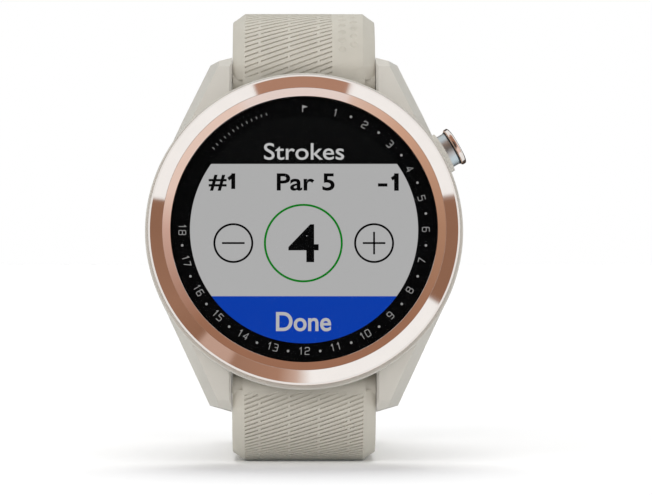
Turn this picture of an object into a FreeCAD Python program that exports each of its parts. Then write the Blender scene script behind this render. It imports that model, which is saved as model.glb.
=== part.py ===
import FreeCAD, Part
import Sketcher
import math
import os
import re

# A golf watch with satellite positioning, in millimetres.
#
# Two frames are used. The watch frame has its origin at the centre of the
# bezel's front edge, X to the wearer's right, Y back along the case's axis and
# Z towards the upper strap. The loop frame shares that origin, but its Y lies
# level with the ground: the watch stands on its lower strap and the case leans
# back in it by face_lean. Both are lowered onto the ground by one placement.

Vector = FreeCAD.Vector
Rotation = FreeCAD.Rotation
Placement = FreeCAD.Placement
X_AXIS = Vector(1, 0, 0)
Y_AXIS = Vector(0, 1, 0)
Z_AXIS = Vector(0, 0, 1)

CELLS = {
    # stance
    "face_lean": 5.5,
    "stand_height": 32.4,
    "rest_offset": 28.95,
    # case
    "case_radius": 21.9,
    "case_front": 3.3,
    "case_back": 11.6,
    "lip_depth": 4.0,
    "case_inner": 18.6,
    "neck_outer": 19.4,
    "neck_inner": 16.7,
    "neck_front": 1.95,
    "cover_step": 9.9,
    "cover_recess": 19.35,
    "flank_height": 19.0,
    "case_edge": 0.5,
    # lugs
    "lug_gap": 20.0,
    "lug_tip": 24.6,
    "lug_corner_out": 13.05,
    "lug_corner_up": 23.7,
    "lug_front": 3.6,
    "lug_rear": 11.2,
    "lug_root_up": 8.0,
    "lug_root_out": 20.36,
    "lug_facet_wide": 2.6,
    "lug_facet_deep": 1.25,
    "lug_slot_edge": 0.35,
    # bezel and lens
    "bezel_radius": 21.4,
    "bezel_rim": 21.13,
    "bezel_crest": 19.3,
    "bezel_bore": 18.2,
    "rim_depth": 1.35,
    "outer_facet_depth": 1.15,
    "inner_facet_depth": 0.55,
    "lens_radius": 18.15,
    "lens_bevel": 0.35,
    "lens_front": 0.4,
    "lens_back": 1.75,
    # display stack
    "display_radius": 16.4,
    "touch_back": 2.0,
    "panel_back": 3.2,
    "backlight_back": 3.7,
    "frame_front": 3.75,
    "frame_back": 4.45,
    "frame_radius": 18.3,
    "flex_width": 7.0,
    "flex_thick": 0.15,
    # boards and battery
    "board_front": 5.3,
    "board_back": 6.1,
    "board_radius": 17.6,
    "battery_width": 23.0,
    "battery_height": 19.0,
    "battery_front": 6.95,
    "battery_back": 9.7,
    "motor_radius": 3.5,
    "motor_height": 13.6,
    "motor_back": 8.45,
    # rear cover
    "cover_radius": 19.2,
    "cover_plug": 18.5,
    "cover_shoulder": 10.25,
    "screw_circle": 17.0,
    "screw_head": 1.15,
    "screw_shank": 0.7,
    "screw_boss": 1.7,
    "boss_front": 7.0,
    "contact_height": 11.6,
    "contact_pitch": 2.0,
    "contact_radius": 0.6,
    "holder_width": 8.9,
    "holder_height": 3.5,
    # button
    "button_angle": 30.0,
    "button_depth": 6.8,
    "boss_radius": 2.9,
    "boss_reach": 22.5,
    "barrel_radius": 2.375,
    "barrel_bore": 2.425,
    "barrel_inner": 21.1,
    "bore_floor": 19.8,
    "shaft_radius": 0.95,
    "shaft_bore": 1.0,
    "shaft_end": 17.6,
    "clip_inner": 18.25,
    "clip_outer": 18.5,
    "cap_inner": 23.8,
    "cap_outer": 24.6,
    "cap_radius": 2.735,
    "ring_radius": 2.45,
    "ring_inner": 23.6,
    # spring bars
    "bar_depth": 8.4,
    "bar_height": 21.6,
    "bar_radius": 0.75,
    "bar_bore": 0.52,
    "bar_length": 19.6,
    "pin_radius": 0.45,
    "pin_hole": 0.5,
    "pin_reach": 10.9,
    "pin_hole_reach": 11.3,
    # straps
    "strap_width": 20.0,
    "strap_thick": 2.8,
    "strap_edge": 1.6,
    "strap_edge_side": 1.2,
    "knuckle_radius": 2.3,
    "knuckle_hole": 0.8,
    "shoulder_radius": 9.5,
    "shoulder_start": 11.2,
    "upper_shoulder_depth": 17.0,
    "upper_shoulder_height": 20.8,
    "lower_shoulder_depth": 12.9,
    "lower_shoulder_height": -22.9,
    "rear_depth": 45.0,
    "rear_height": -1.05,
    "rear_radius": 31.35,
    "upper_sweep": 70.0,
    "lower_sweep": 84.0,
    "hole_count": 12,
    "hole_pitch": 5.0,
    "hole_first": 22.8,
    "hole_radius": 1.15,
    "tip_round": 6.5,
    # keepers
    "keeper_length": 5.0,
    "keeper_wall": 1.3,
    "keeper_wide": 20.6,
    "keeper_tall": 6.2,
    "keeper_play": 0.22,
    "free_keeper_sweep": 44.5,
    "fixed_keeper_sweep": 56.0,
    # buckle
    "buckle_bar_radius": 0.75,
    "buckle_bar_hole": 0.8,
    "strap_end_radius": 1.9,
    "buckle_inner": 20.8,
    "buckle_outer": 24.8,
    "buckle_reach": 11.4,
    "buckle_bridge": 2.2,
    "buckle_thick": 2.2,
    "buckle_tail": 1.6,
    "tongue_width": 2.2,
    "tongue_thick": 1.1,
    "tongue_loop": 1.45,
    "tongue_notch": 3.2,
}

document = FreeCAD.newDocument("golf_watch")
dims = document.addObject("Spreadsheet::Sheet", "Dims")
for row, (alias, number) in enumerate(CELLS.items(), start=1):
    dims.set(f"A{row}", alias)
    dims.set(f"B{row}", str(number))
    dims.setAlias(f"B{row}", alias)
document.recompute()

SUB_PARTS = []


# --- reading the sheet -------------------------------------------------------

def bound(text):
    """The expression with each dimension's name pointed at the sheet."""
    return re.sub(r"[a-z]\w+", lambda m: f"Dims.{m[0]}" if m[0] in CELLS else m[0], str(text))


def size(text):
    """The expression's value in millimetres or degrees."""
    return float(dims.evalExpression(bound(text)))


def watch_frame():
    """The placement of the watch frame over the ground."""
    base = Vector(0, -size("rest_offset"), size("stand_height"))
    return Placement(base, Rotation(X_AXIS, -size("face_lean")))


def loop_frame():
    """The placement of the loop frame over the ground."""
    return Placement(Vector(0, -size("rest_offset"), size("stand_height")), Rotation())


def bar_in_loop(side):
    """The Y and Z, in the loop frame, of the spring bar on one side (+1 upper, -1 lower)."""
    leaned = Rotation(X_AXIS, -size("face_lean"))
    centre = leaned.multVec(Vector(0, size("bar_depth"), side * size("bar_height")))
    return centre.y, centre.z


# --- document helpers --------------------------------------------------------

def finish(item, label, frame=None):
    """Name a sub-part and place it, in the watch frame unless another is given."""
    item.Label = label
    item.Placement = watch_frame() if frame is None else frame
    SUB_PARTS.append(item)
    return item


def stand(item, label, leaning=True):
    """Name a sub-part and tie its placement to the stance cells."""
    turn = size("face_lean") if leaning else 0
    finish(item, label, Placement(Vector(0, 0, 0), Rotation(X_AXIS, -turn)))
    item.setExpression("Placement.Base.y", bound("-rest_offset"))
    item.setExpression("Placement.Base.z", bound("stand_height"))
    if leaning:
        item.setExpression("Placement.Rotation.Angle", bound("-face_lean * 1deg"))
    return item


def new_body(label, leaning=True):
    """An empty body in the watch frame, or in the loop frame."""
    return stand(document.addObject("PartDesign::Body", label), label, leaning)


def origin_plane(body, role):
    """One of the body's own origin planes."""
    return next(item for item in body.Origin.OriginFeatures if item.Role == role)


def new_sketch(body, role, offset=None):
    """A sketch on an origin plane, lifted by an expression along the plane's normal."""
    sketch = body.newObject("Sketcher::SketchObject", "Sketch")
    sketch.AttachmentSupport = [(origin_plane(body, role), "")]
    sketch.MapMode = "FlatFace"
    if offset is not None:
        sketch.AttachmentOffset = Placement(Vector(0, 0, size(offset)), Rotation())
        sketch.setExpression("AttachmentOffset.Base.z", bound(offset))
    return sketch


def face_sketch(body, depth):
    """A sketch facing the wearer at a depth in the case: X across, Y up."""
    return new_sketch(body, "XZ_Plane", f"-({depth})")


def radial_sketch(body, reach):
    """A sketch square to the button's axis at a distance from the case's centre."""
    sketch = new_sketch(body, "YZ_Plane")
    turn = Rotation(X_AXIS, -size("button_angle"))
    sketch.AttachmentOffset = Placement(Vector(0, 0, 0), turn)
    sketch.setExpression("AttachmentOffset.Base.x", bound("button_depth"))
    sketch.setExpression("AttachmentOffset.Base.y", bound(f"({reach}) * sin(button_angle * 1deg)"))
    sketch.setExpression("AttachmentOffset.Base.z", bound(f"({reach}) * cos(button_angle * 1deg)"))
    return sketch


def pin_point(sketch, geometry, end, across, up):
    """Fix a sketch point by its two distances from the sketch's origin."""
    for kind, text in (("DistanceX", across), ("DistanceY", up)):
        if text is not None:
            index = sketch.addConstraint(Sketcher.Constraint(kind, -1, 1, geometry, end, size(text)))
            sketch.setExpression(f"Constraints[{index}]", bound(text))


def add_circle(sketch, across, up, radius):
    """A circle with its centre and radius tied to the sheet."""
    centre = Vector(size(across), size(up), 0)
    index = sketch.addGeometry(Part.Circle(centre, Z_AXIS, size(radius)), False)
    pin_point(sketch, index, 3, across, up)
    row = sketch.addConstraint(Sketcher.Constraint("Radius", index, size(radius)))
    sketch.setExpression(f"Constraints[{row}]", bound(radius))


def add_outline(sketch, corners):
    """A closed outline. A corner is (across, up), or (across, up, centre across,
    centre up, turn) when an arc leads from it to the next, turn being +1
    anticlockwise or -1 clockwise."""
    points = [Vector(size(c[0]), size(c[1]), 0) for c in corners]
    free = {}
    pieces = []
    for i, corner in enumerate(corners):
        start, stop = points[i], points[(i + 1) % len(points)]
        if len(corner) == 2:
            index = sketch.addGeometry(Part.LineSegment(start, stop), False)
            pieces.append((index, 1, 2))
            continue
        centre = Vector(size(corner[2]), size(corner[3]), 0)
        spoke_in, spoke_out = start - centre, stop - centre
        begin = math.atan2(spoke_in.y, spoke_in.x)
        end = math.atan2(spoke_out.y, spoke_out.x)
        if corner[4] < 0:
            begin, end = end, begin
        circle = Part.Circle(centre, Z_AXIS, spoke_in.Length)
        index = sketch.addGeometry(Part.ArcOfCircle(circle, begin, end), False)
        pieces.append((index, 1, 2) if corner[4] > 0 else (index, 2, 1))
        pin_point(sketch, index, 3, corner[2], corner[3])
        free[(i + 1) % len(points)] = abs(spoke_out.y) > abs(spoke_out.x)
    for i, (index, first, last) in enumerate(pieces):
        after = pieces[(i + 1) % len(pieces)]
        sketch.addConstraint(Sketcher.Constraint("Coincident", index, last, after[0], after[1]))
        across, up = corners[i][0], corners[i][1]
        if i in free:
            across, up = (across, None) if free[i] else (None, up)
        pin_point(sketch, index, first, across, up)


def add_rectangle(sketch, left, right, low, high):
    """A rectangle between four expressions."""
    add_outline(sketch, [(left, low), (right, low), (right, high), (left, high)])


def add_pad(body, sketch, length, forward=False, both=False):
    """A pad back from the sketch, or forward along its normal."""
    pad = body.newObject("PartDesign::Pad", "Pad")
    pad.Profile = sketch
    pad.Reversed = not forward
    pad.Midplane = both
    pad.setExpression("Length", bound(length))
    settle(sketch)
    return pad


def add_pocket(body, sketch, length, forward=False, both=False):
    """A pocket back from the sketch, or forward along its normal."""
    pocket = body.newObject("PartDesign::Pocket", "Pocket")
    pocket.Profile = sketch
    pocket.Reversed = forward
    pocket.Midplane = both
    pocket.setExpression("Length", bound(length))
    before = pocket.BaseFeature
    settle(sketch)
    if before is not None and not pocket.Shape.isNull():
        if pocket.Shape.Volume > before.Shape.Volume - 1e-6:
            raise RuntimeError(f"{body.Label}: a pocket removes nothing")
    return pocket


def settle(sketch):
    """Hide a used sketch and bring the document up to date."""
    sketch.Visibility = False
    document.recompute()


def add_turned(body, corners, cut=False):
    """Turn an outline of (radius, distance along Y) about the body's Y axis."""
    sketch = new_sketch(body, "XY_Plane")
    add_outline(sketch, corners)
    kind = "Groove" if cut else "Revolution"
    turned = body.newObject(f"PartDesign::{kind}", kind)
    turned.Profile = sketch
    turned.ReferenceAxis = (sketch, ["V_Axis"])
    turned.Angle = 360
    settle(sketch)
    return turned


def add_chamfer(body, test, near, far=None):
    """Chamfer the edges whose middle passes a test, evenly or by two distances."""
    base = body.Tip
    names = [f"Edge{i}" for i, edge in enumerate(base.Shape.Edges, 1) if test(edge)]
    if not names:
        raise RuntimeError(f"{body.Label}: no edge to chamfer")
    chamfer = body.newObject("PartDesign::Chamfer", "Chamfer")
    chamfer.Base = (base, names)
    if far is not None:
        chamfer.ChamferType = "Two distances"
        chamfer.setExpression("Size2", bound(far))
    chamfer.setExpression("Size", bound(near))
    document.recompute()
    return chamfer


def add_fillet(body, test, radius):
    """Round the edges whose middle passes a test."""
    base = body.Tip
    names = [f"Edge{i}" for i, edge in enumerate(base.Shape.Edges, 1) if test(edge)]
    if not names:
        raise RuntimeError(f"{body.Label}: no edge to round")
    fillet = body.newObject("PartDesign::Fillet", "Fillet")
    fillet.Base = (base, names)
    fillet.setExpression("Radius", bound(radius))
    document.recompute()
    return fillet


def middle(edge):
    """The middle of an edge."""
    return edge.valueAt((edge.FirstParameter + edge.LastParameter) / 2)


def disc(label, radius, front, back):
    """A plain round layer of the display stack."""
    body = new_body(label)
    add_turned(body, [("0", front), (radius, front), (radius, back), ("0", back)])
    return body


def slab(label, centre, width, height, front, back):
    """A rectangular piece facing the wearer, centred at (across, up)."""
    body = new_body(label)
    across, up = centre
    sketch = face_sketch(body, front)
    left, right = f"{across} - ({width}) / 2", f"{across} + ({width}) / 2"
    low, high = f"{up} - ({height}) / 2", f"{up} + ({height}) / 2"
    add_rectangle(sketch, left, right, low, high)
    add_pad(body, sketch, f"({back}) - ({front})")
    return body


def rod(name, radius, start, length, direction):
    """A cylinder from a point along a direction, its radius tied to the sheet."""
    item = document.addObject("Part::Cylinder", name)
    item.setExpression("Radius", bound(radius))
    item.Height = length
    item.Placement = Placement(start, Rotation(Z_AXIS, direction))
    return item


def group(label, items, frame=None):
    """Several like pieces kept as one sub-part."""
    compound = document.addObject("Part::Compound", label)
    compound.Links = items
    return finish(compound, label, frame)


def cut_with(label, base, tools, frame=None):
    """A solid with other solids taken out of it."""
    tool = tools[0]
    if len(tools) > 1:
        tool = document.addObject("Part::MultiFuse", f"{label}_cutters")
        tool.Shapes = tools
    cut = document.addObject("Part::Cut", label)
    cut.Base = base
    cut.Tool = tool
    return finish(cut, label, frame) if label else cut


# --- case --------------------------------------------------------------------

def lug_corners(side_x, side_z):
    """One lug's outline as seen by the wearer."""
    inner, outer = f"{side_x} * lug_gap / 2", f"{side_x} * lug_corner_out"
    return [
        (inner, f"{side_z} * lug_root_up"),
        (inner, f"{side_z} * lug_tip"),
        (outer, f"{side_z} * lug_corner_up"),
        (f"{side_x} * lug_root_out", f"{side_z} * lug_root_up"),
    ]


def on_lug_side(edge):
    """Whether an edge is where a lug's sloping front meets its outer side."""
    point = middle(edge)
    along = edge.valueAt(edge.LastParameter) - edge.valueAt(edge.FirstParameter)
    out, up = size("lug_root_out"), size("lug_root_up")
    run, rise = size("lug_corner_out") - out, size("lug_corner_up") - up
    offset = (abs(point.x) - out) * rise - (abs(point.z) - up) * run
    on_side = abs(offset) / math.hypot(run, rise) < 0.01
    return on_side and point.y < 6.3 and abs(along.z) > 1.0


def on_slot_side(edge):
    """Whether an edge is where a lug's sloping front meets the strap slot."""
    point = middle(edge)
    along = edge.valueAt(edge.LastParameter) - edge.valueAt(edge.FirstParameter)
    return abs(abs(point.x) - size("lug_gap") / 2) < 0.01 and point.y < 6.3 and abs(along.z) > 1.0


def add_lugs(body):
    """Four lugs that slope back towards their tips, each with a long side facet."""
    sketch = face_sketch(body, "lug_front")
    for side_x in (1, -1):
        for side_z in (1, -1):
            add_outline(sketch, lug_corners(side_x, side_z))
    add_pad(body, sketch, "lug_rear - lug_front")
    for side in (1, -1):
        slope = new_sketch(body, "YZ_Plane")
        front = [("lug_front - 1", 16.2), ("lug_front", 16.2), ("lug_front + 2.3", 23.2)]
        front += [("lug_front + 3.95", 25.0), ("lug_front - 1", 25.0)]
        add_outline(slope, [(y, f"{side} * {z}") for y, z in front])
        add_pocket(body, slope, 60, both=True)
        heel = new_sketch(body, "YZ_Plane")
        rear = [("lug_rear + 1", 20.4), ("lug_rear", 20.4), ("lug_rear - 1.38", 25.0), ("lug_rear + 1", 25.0)]
        add_outline(heel, [(y, f"{side} * {z}") for y, z in rear])
        add_pocket(body, heel, 60, both=True)
    add_chamfer(body, on_lug_side, "lug_facet_deep", "lug_facet_wide")
    add_chamfer(body, on_slot_side, "lug_slot_edge")


def make_case():
    """The housing: lugs, shell, cavity, strap slots, button boss and bores."""
    body = new_body("case_body")
    add_lugs(body)
    add_turned(body, [
        ("0", "neck_front"),
        ("neck_outer", "neck_front"),
        ("neck_outer", "case_front"),
        ("case_radius - 0.15", "case_front"),
        ("case_radius", "case_front + 0.15"),
        ("case_radius", "case_back - 2.6"),
        ("case_radius - 1.1", "case_back - case_edge"),
        ("case_radius - 1.1 - case_edge", "case_back"),
        ("0", "case_back"),
    ])
    add_turned(body, [
        ("0", "neck_front - 1"),
        ("neck_inner", "neck_front - 1"),
        ("neck_inner", "case_front"),
        ("case_inner", "case_front"),
        ("case_inner", "cover_step"),
        ("cover_recess", "cover_step"),
        ("cover_recess", "case_back + 1"),
        ("0", "case_back + 1"),
    ], cut=True)
    slots = face_sketch(body, "lip_depth")
    for side in (1, -1):
        add_rectangle(slots, "-lug_gap / 2", "lug_gap / 2", f"{side} * flank_height", f"{side} * 30")
    add_pocket(body, slots, "case_back")
    bosses = face_sketch(body, "boss_front")
    for across, up in screw_spots():
        add_circle(bosses, across, up, "screw_boss")
    add_pad(body, bosses, "cover_step - boss_front")
    holes = face_sketch(body, "boss_front - 1")
    for across, up in screw_spots():
        add_circle(holes, across, up, "screw_shank + 0.02")
    add_pocket(body, holes, "case_back")
    add_button_bores(body)
    ends = new_sketch(body, "YZ_Plane")
    for side in (1, -1):
        add_circle(ends, "bar_depth", f"{side} * bar_height", "pin_hole")
    add_pocket(body, ends, "2 * pin_hole_reach", both=True)
    return body


def screw_spots():
    """The four rear cover screws' places."""
    reach = "screw_circle * 0.70711"
    return [(f"{a} * {reach}", f"{b} * {reach}") for a in (1, -1) for b in (1, -1)]


def add_button_bores(body):
    """The boss around the button, the bore for its barrel and the hole for its shaft."""
    boss = radial_sketch(body, "case_inner + 0.6")
    add_circle(boss, "0", "0", "boss_radius")
    add_pad(body, boss, "boss_reach - case_inner - 0.6", forward=True)
    bore = radial_sketch(body, "bore_floor")
    add_circle(bore, "0", "0", "barrel_bore")
    add_pocket(body, bore, "4", forward=True)
    hole = radial_sketch(body, "case_inner - 1.5")
    add_circle(hole, "0", "0", "shaft_bore")
    add_pocket(body, hole, "6", forward=True)


# --- bezel, lens and display -------------------------------------------------

def make_bezel():
    """The metal ring, with its broad outer facet and its narrow inner one."""
    body = new_body("bezel")
    add_turned(body, [
        ("bezel_bore", "inner_facet_depth"),
        ("bezel_crest - 0.06", "0.03"),
        ("bezel_crest + 0.06", "0.03"),
        ("bezel_rim", "outer_facet_depth"),
        ("bezel_radius", "rim_depth"),
        ("bezel_radius", "case_front"),
        ("neck_outer + 0.05", "case_front"),
        ("neck_outer + 0.05", "neck_front"),
        ("bezel_bore", "neck_front"),
    ])


def make_lens():
    """The glass, bevelled at its front edge, and the adhesive ring under it."""
    body = new_body("lens")
    add_turned(body, [
        ("0", "lens_front"),
        ("lens_radius - lens_bevel", "lens_front"),
        ("lens_radius", "lens_front + lens_bevel"),
        ("lens_radius", "lens_back"),
        ("0", "lens_back"),
    ])
    gasket = new_body("lens_gasket")
    add_turned(gasket, [
        ("neck_inner + 0.05", "lens_back"),
        ("lens_radius - 0.05", "lens_back"),
        ("lens_radius - 0.05", "neck_front"),
        ("neck_inner + 0.05", "neck_front"),
    ])


def make_display():
    """Touch sensor, panel, backlight, the frame that carries them and the flex."""
    disc("touch_panel", "display_radius", "lens_back", "touch_back")
    disc("display_panel", "display_radius - 0.1", "touch_back", "panel_back")
    disc("backlight", "display_radius - 1.8", "panel_back", "backlight_back")
    frame = new_body("display_frame")
    add_turned(frame, [
        ("0", "frame_front"),
        ("frame_radius", "frame_front"),
        ("frame_radius", "frame_back"),
        ("0", "frame_back"),
    ])
    notch = face_sketch(frame, "frame_front - 1")
    add_rectangle(notch, "-flex_width / 2 - 0.5", "flex_width / 2 + 0.5", "-20", "-15.6")
    add_rectangle(notch, "-6", "6", "3", "9")
    add_rectangle(notch, "-9", "-3", "-8", "-3")
    add_rectangle(notch, "3", "9", "-8", "-3")
    for across, up in frame_screw_spots():
        add_circle(notch, across, up, "0.52")
    add_pocket(frame, notch, "4")
    flex = new_body("display_flex")
    side = new_sketch(flex, "YZ_Plane")
    add_outline(side, [
        ("panel_back", "-14.8"),
        ("panel_back", "-16 - flex_thick"),
        ("frame_back + flex_thick", "-16 - flex_thick"),
        ("frame_back + flex_thick", "-12.4"),
        ("frame_back", "-12.4"),
        ("frame_back", "-16"),
        ("panel_back + flex_thick", "-16"),
        ("panel_back + flex_thick", "-14.8"),
    ])
    add_pad(flex, side, "flex_width", both=True)


def frame_screw_spots():
    """The three screws that hold the board to the display frame."""
    spots = []
    for angle in (150, 250, 330):
        across = 15.6 * math.cos(math.radians(angle))
        up = 15.6 * math.sin(math.radians(angle))
        spots.append((f"{across:.3f}", f"{up:.3f}"))
    return spots


# --- boards and battery ------------------------------------------------------

def make_board():
    """The round main board with a bay for the button's switch."""
    body = new_body("main_board")
    add_turned(body, [
        ("0", "board_front"),
        ("board_radius", "board_front"),
        ("board_radius", "board_back"),
        ("0", "board_back"),
    ])
    cuts = face_sketch(body, "board_front - 1")
    turn = "button_angle * 1deg"
    corners = []
    for reach, swing in ((14.8, -4.0), (20.0, -4.0), (20.0, 4.0), (14.8, 4.0)):
        across = f"{reach} * cos({turn}) - {swing} * sin({turn})"
        up = f"{reach} * sin({turn}) + {swing} * cos({turn})"
        corners.append((across, up))
    add_outline(cuts, corners)
    for across, up in frame_screw_spots():
        add_circle(cuts, across, up, "0.55")
    add_pocket(body, cuts, "4")


def make_components():
    """The chips, connectors and cans on both sides of the board."""
    rear = "board_back"
    shield = slab("processor_shield", ("-4", "1.5"), "12", "10", rear, "board_back + 0.75")
    add_chamfer(shield, lambda e: abs(e.Vertexes[0].Y - e.Vertexes[-1].Y) > 0.7, "0.8")
    slab("memory_chip", ("7.2", "-4.5"), "6", "5", rear, "board_back + 0.7")
    slab("satellite_receiver", ("-1.6", "13.0"), "5", "5", rear, "board_back + 0.9")
    slab("radio_module", ("3.6", "13.2"), "4", "3", rear, "board_back + 0.9")
    slab("motion_sensor", ("8.6", "-12.2"), "2.5", "2.5", rear, "board_back + 0.8")
    slab("power_chip", ("-10.2", "-11.4"), "3", "3", rear, "board_back + 0.7")
    slab("display_connector", ("0", "-12.9"), "7.6", "1.8", "frame_back + 0.15", "board_front")
    slab("battery_connector", ("-7.2", "12.2"), "4", "2", rear, "board_back + 1.1")
    slab("charging_connector", ("8.0", "12.0"), "3.5", "2", rear, "board_back + 1.1")
    capacitors = []
    for i in range(6):
        for across, up in ((-5.4 + 2.2 * i, 9.75), (4.6, -16.0 + 0.9 * i)):
            box = document.addObject("Part::Box", "Capacitor")
            box.Length, box.Width, box.Height = 0.9, 0.45, 0.5
            box.Placement = Placement(Vector(across, size("board_back"), up), Rotation())
            capacitors.append(box)
    group("board_capacitors", capacitors)
    clips = []
    for side in (1, -1):
        box = document.addObject("Part::Box", "AntennaClip")
        box.Length, box.Height = 1.2, 2.6
        box.setExpression("Width", bound("board_front - frame_back"))
        box.Placement = Placement(Vector(side * 15.4 - 0.6, size("frame_back"), -1.3), Rotation())
        clips.append(box)
    group("antenna_contacts", clips)


def make_battery():
    """The cell, its foam pad, its lead and the vibration motor beside it."""
    cell = slab("battery", ("0", "0"), "battery_width", "battery_height", "battery_front", "battery_back")
    add_fillet(cell, lambda e: abs(e.Vertexes[0].Y - e.Vertexes[-1].Y) > 2.0, "1.2")
    pad_size = ("battery_width - 4", "battery_height - 4")
    slab("battery_pad", ("0", "0"), *pad_size, "battery_back", "cover_step")
    lead = new_body("battery_lead")
    side = new_sketch(lead, "YZ_Plane", "-8.7")
    add_outline(side, [
        ("7.2", "battery_height / 2"),
        ("7.5", "battery_height / 2"),
        ("7.5", "10.2"),
        ("6.8", "10.9"),
        ("6.8", "11.2"),
        ("6.5", "11.2"),
        ("6.5", "10.75"),
        ("7.2", "10.05"),
    ])
    add_pad(lead, side, "3", forward=True)
    motor = new_body("vibration_motor")
    face = face_sketch(motor, "board_back")
    add_circle(face, "0", "-motor_height", "motor_radius")
    add_pad(motor, face, "motor_back - board_back")
    ring = lambda e: abs(middle(e).y - size("motor_back")) < 0.01 and len(e.Vertexes) < 2
    add_chamfer(motor, ring, "0.3")


# --- rear cover --------------------------------------------------------------

def make_rear_cover():
    """The cover, with screw seats and the window for the charging contacts."""
    body = new_body("rear_cover")
    add_turned(body, [
        ("0", "cover_step"),
        ("cover_plug", "cover_step"),
        ("cover_plug", "cover_shoulder"),
        ("cover_radius", "cover_shoulder"),
        ("cover_radius", "case_back - 0.3"),
        ("cover_radius - 0.5", "case_back"),
        ("0", "case_back"),
    ])
    window = face_sketch(body, "cover_step - 1")
    add_rectangle(window, "-holder_width / 2", "holder_width / 2",
                  "-contact_height - holder_height / 2", "-contact_height + holder_height / 2")
    for across, up in screw_spots():
        add_circle(window, across, up, "screw_shank + 0.1")
    add_pocket(body, window, "4")
    seats = face_sketch(body, "case_back - 0.8")
    for across, up in screw_spots():
        add_circle(seats, across, up, "screw_head + 0.1")
    add_pocket(body, seats, "4")
    gasket = new_body("rear_cover_gasket")
    add_turned(gasket, [
        ("cover_plug + 0.1", "cover_step"),
        ("cover_recess - 0.1", "cover_step"),
        ("cover_recess - 0.1", "cover_shoulder"),
        ("cover_plug + 0.1", "cover_shoulder"),
    ])


def socket_screw(across, up, head, shank, head_front, head_back, tip):
    """One screw with a hexagon socket, its head facing the back of the case."""
    back = Vector(0, -1, 0)
    top = rod("Head", head, Vector(across, head_back, up), head_back - head_front, back)
    stem = rod("Shank", shank, Vector(across, head_front + 0.01, up), head_front + 0.01 - tip, back)
    whole = document.addObject("Part::Fuse", "Screw")
    whole.Base, whole.Tool = top, stem
    socket = document.addObject("Part::Prism", "Socket")
    socket.Polygon = 6
    socket.setExpression("Circumradius", bound(f"({head}) * 0.55"))
    socket.Height = 0.6 * (head_back - head_front)
    socket.Placement = Placement(Vector(across, head_back, up), Rotation(Z_AXIS, back))
    cut = document.addObject("Part::Cut", "SocketScrew")
    cut.Base, cut.Tool = whole, socket
    return cut


def make_screws():
    """The four rear cover screws and the three board screws."""
    back = size("case_back")
    rear = []
    for across, up in screw_spots():
        rear.append(socket_screw(size(across), size(up), "screw_head", "screw_shank",
                                 back - 0.8, back - 0.1, size("boss_front") + 0.3))
    group("rear_cover_screws", rear)
    inner = []
    for across, up in frame_screw_spots():
        inner.append(socket_screw(size(across), size(up), "0.9", "0.5",
                                  size("board_back"), size("board_back") + 0.5, size("frame_front") + 0.1))
    group("board_screws", inner)


def make_contacts():
    """The charging contacts and the insulating block that carries them."""
    holder = slab("charging_contact_holder", ("0", "-contact_height"), "holder_width - 0.1",
                  "holder_height - 0.1", "cover_step - 0.8", "case_back - 0.7")
    face = face_sketch(holder, "cover_step - 2")
    for i in range(4):
        add_circle(face, f"({i} - 1.5) * contact_pitch", "-contact_height", "contact_radius + 0.01")
    add_pocket(holder, face, "6")
    pins = []
    for i in range(4):
        start = Vector((i - 1.5) * size("contact_pitch"), size("cover_step") - 1.2, -size("contact_height"))
        pins.append(rod("Contact", "contact_radius", start, 2.4, Y_AXIS))
    group("charging_contacts", pins)


# --- button ------------------------------------------------------------------

def button_frame():
    """The placement whose Y axis is the button's, from the case's centre out."""
    up = Rotation(X_AXIS, 90)
    lean = Rotation(Y_AXIS, 90 - size("button_angle"))
    return watch_frame() * Placement(Vector(0, size("button_depth"), 0), lean * up)


def button_body(label, corners):
    """A turned piece of the button."""
    body = finish(document.addObject("PartDesign::Body", label), label, button_frame())
    add_turned(body, corners)
    return body


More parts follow.
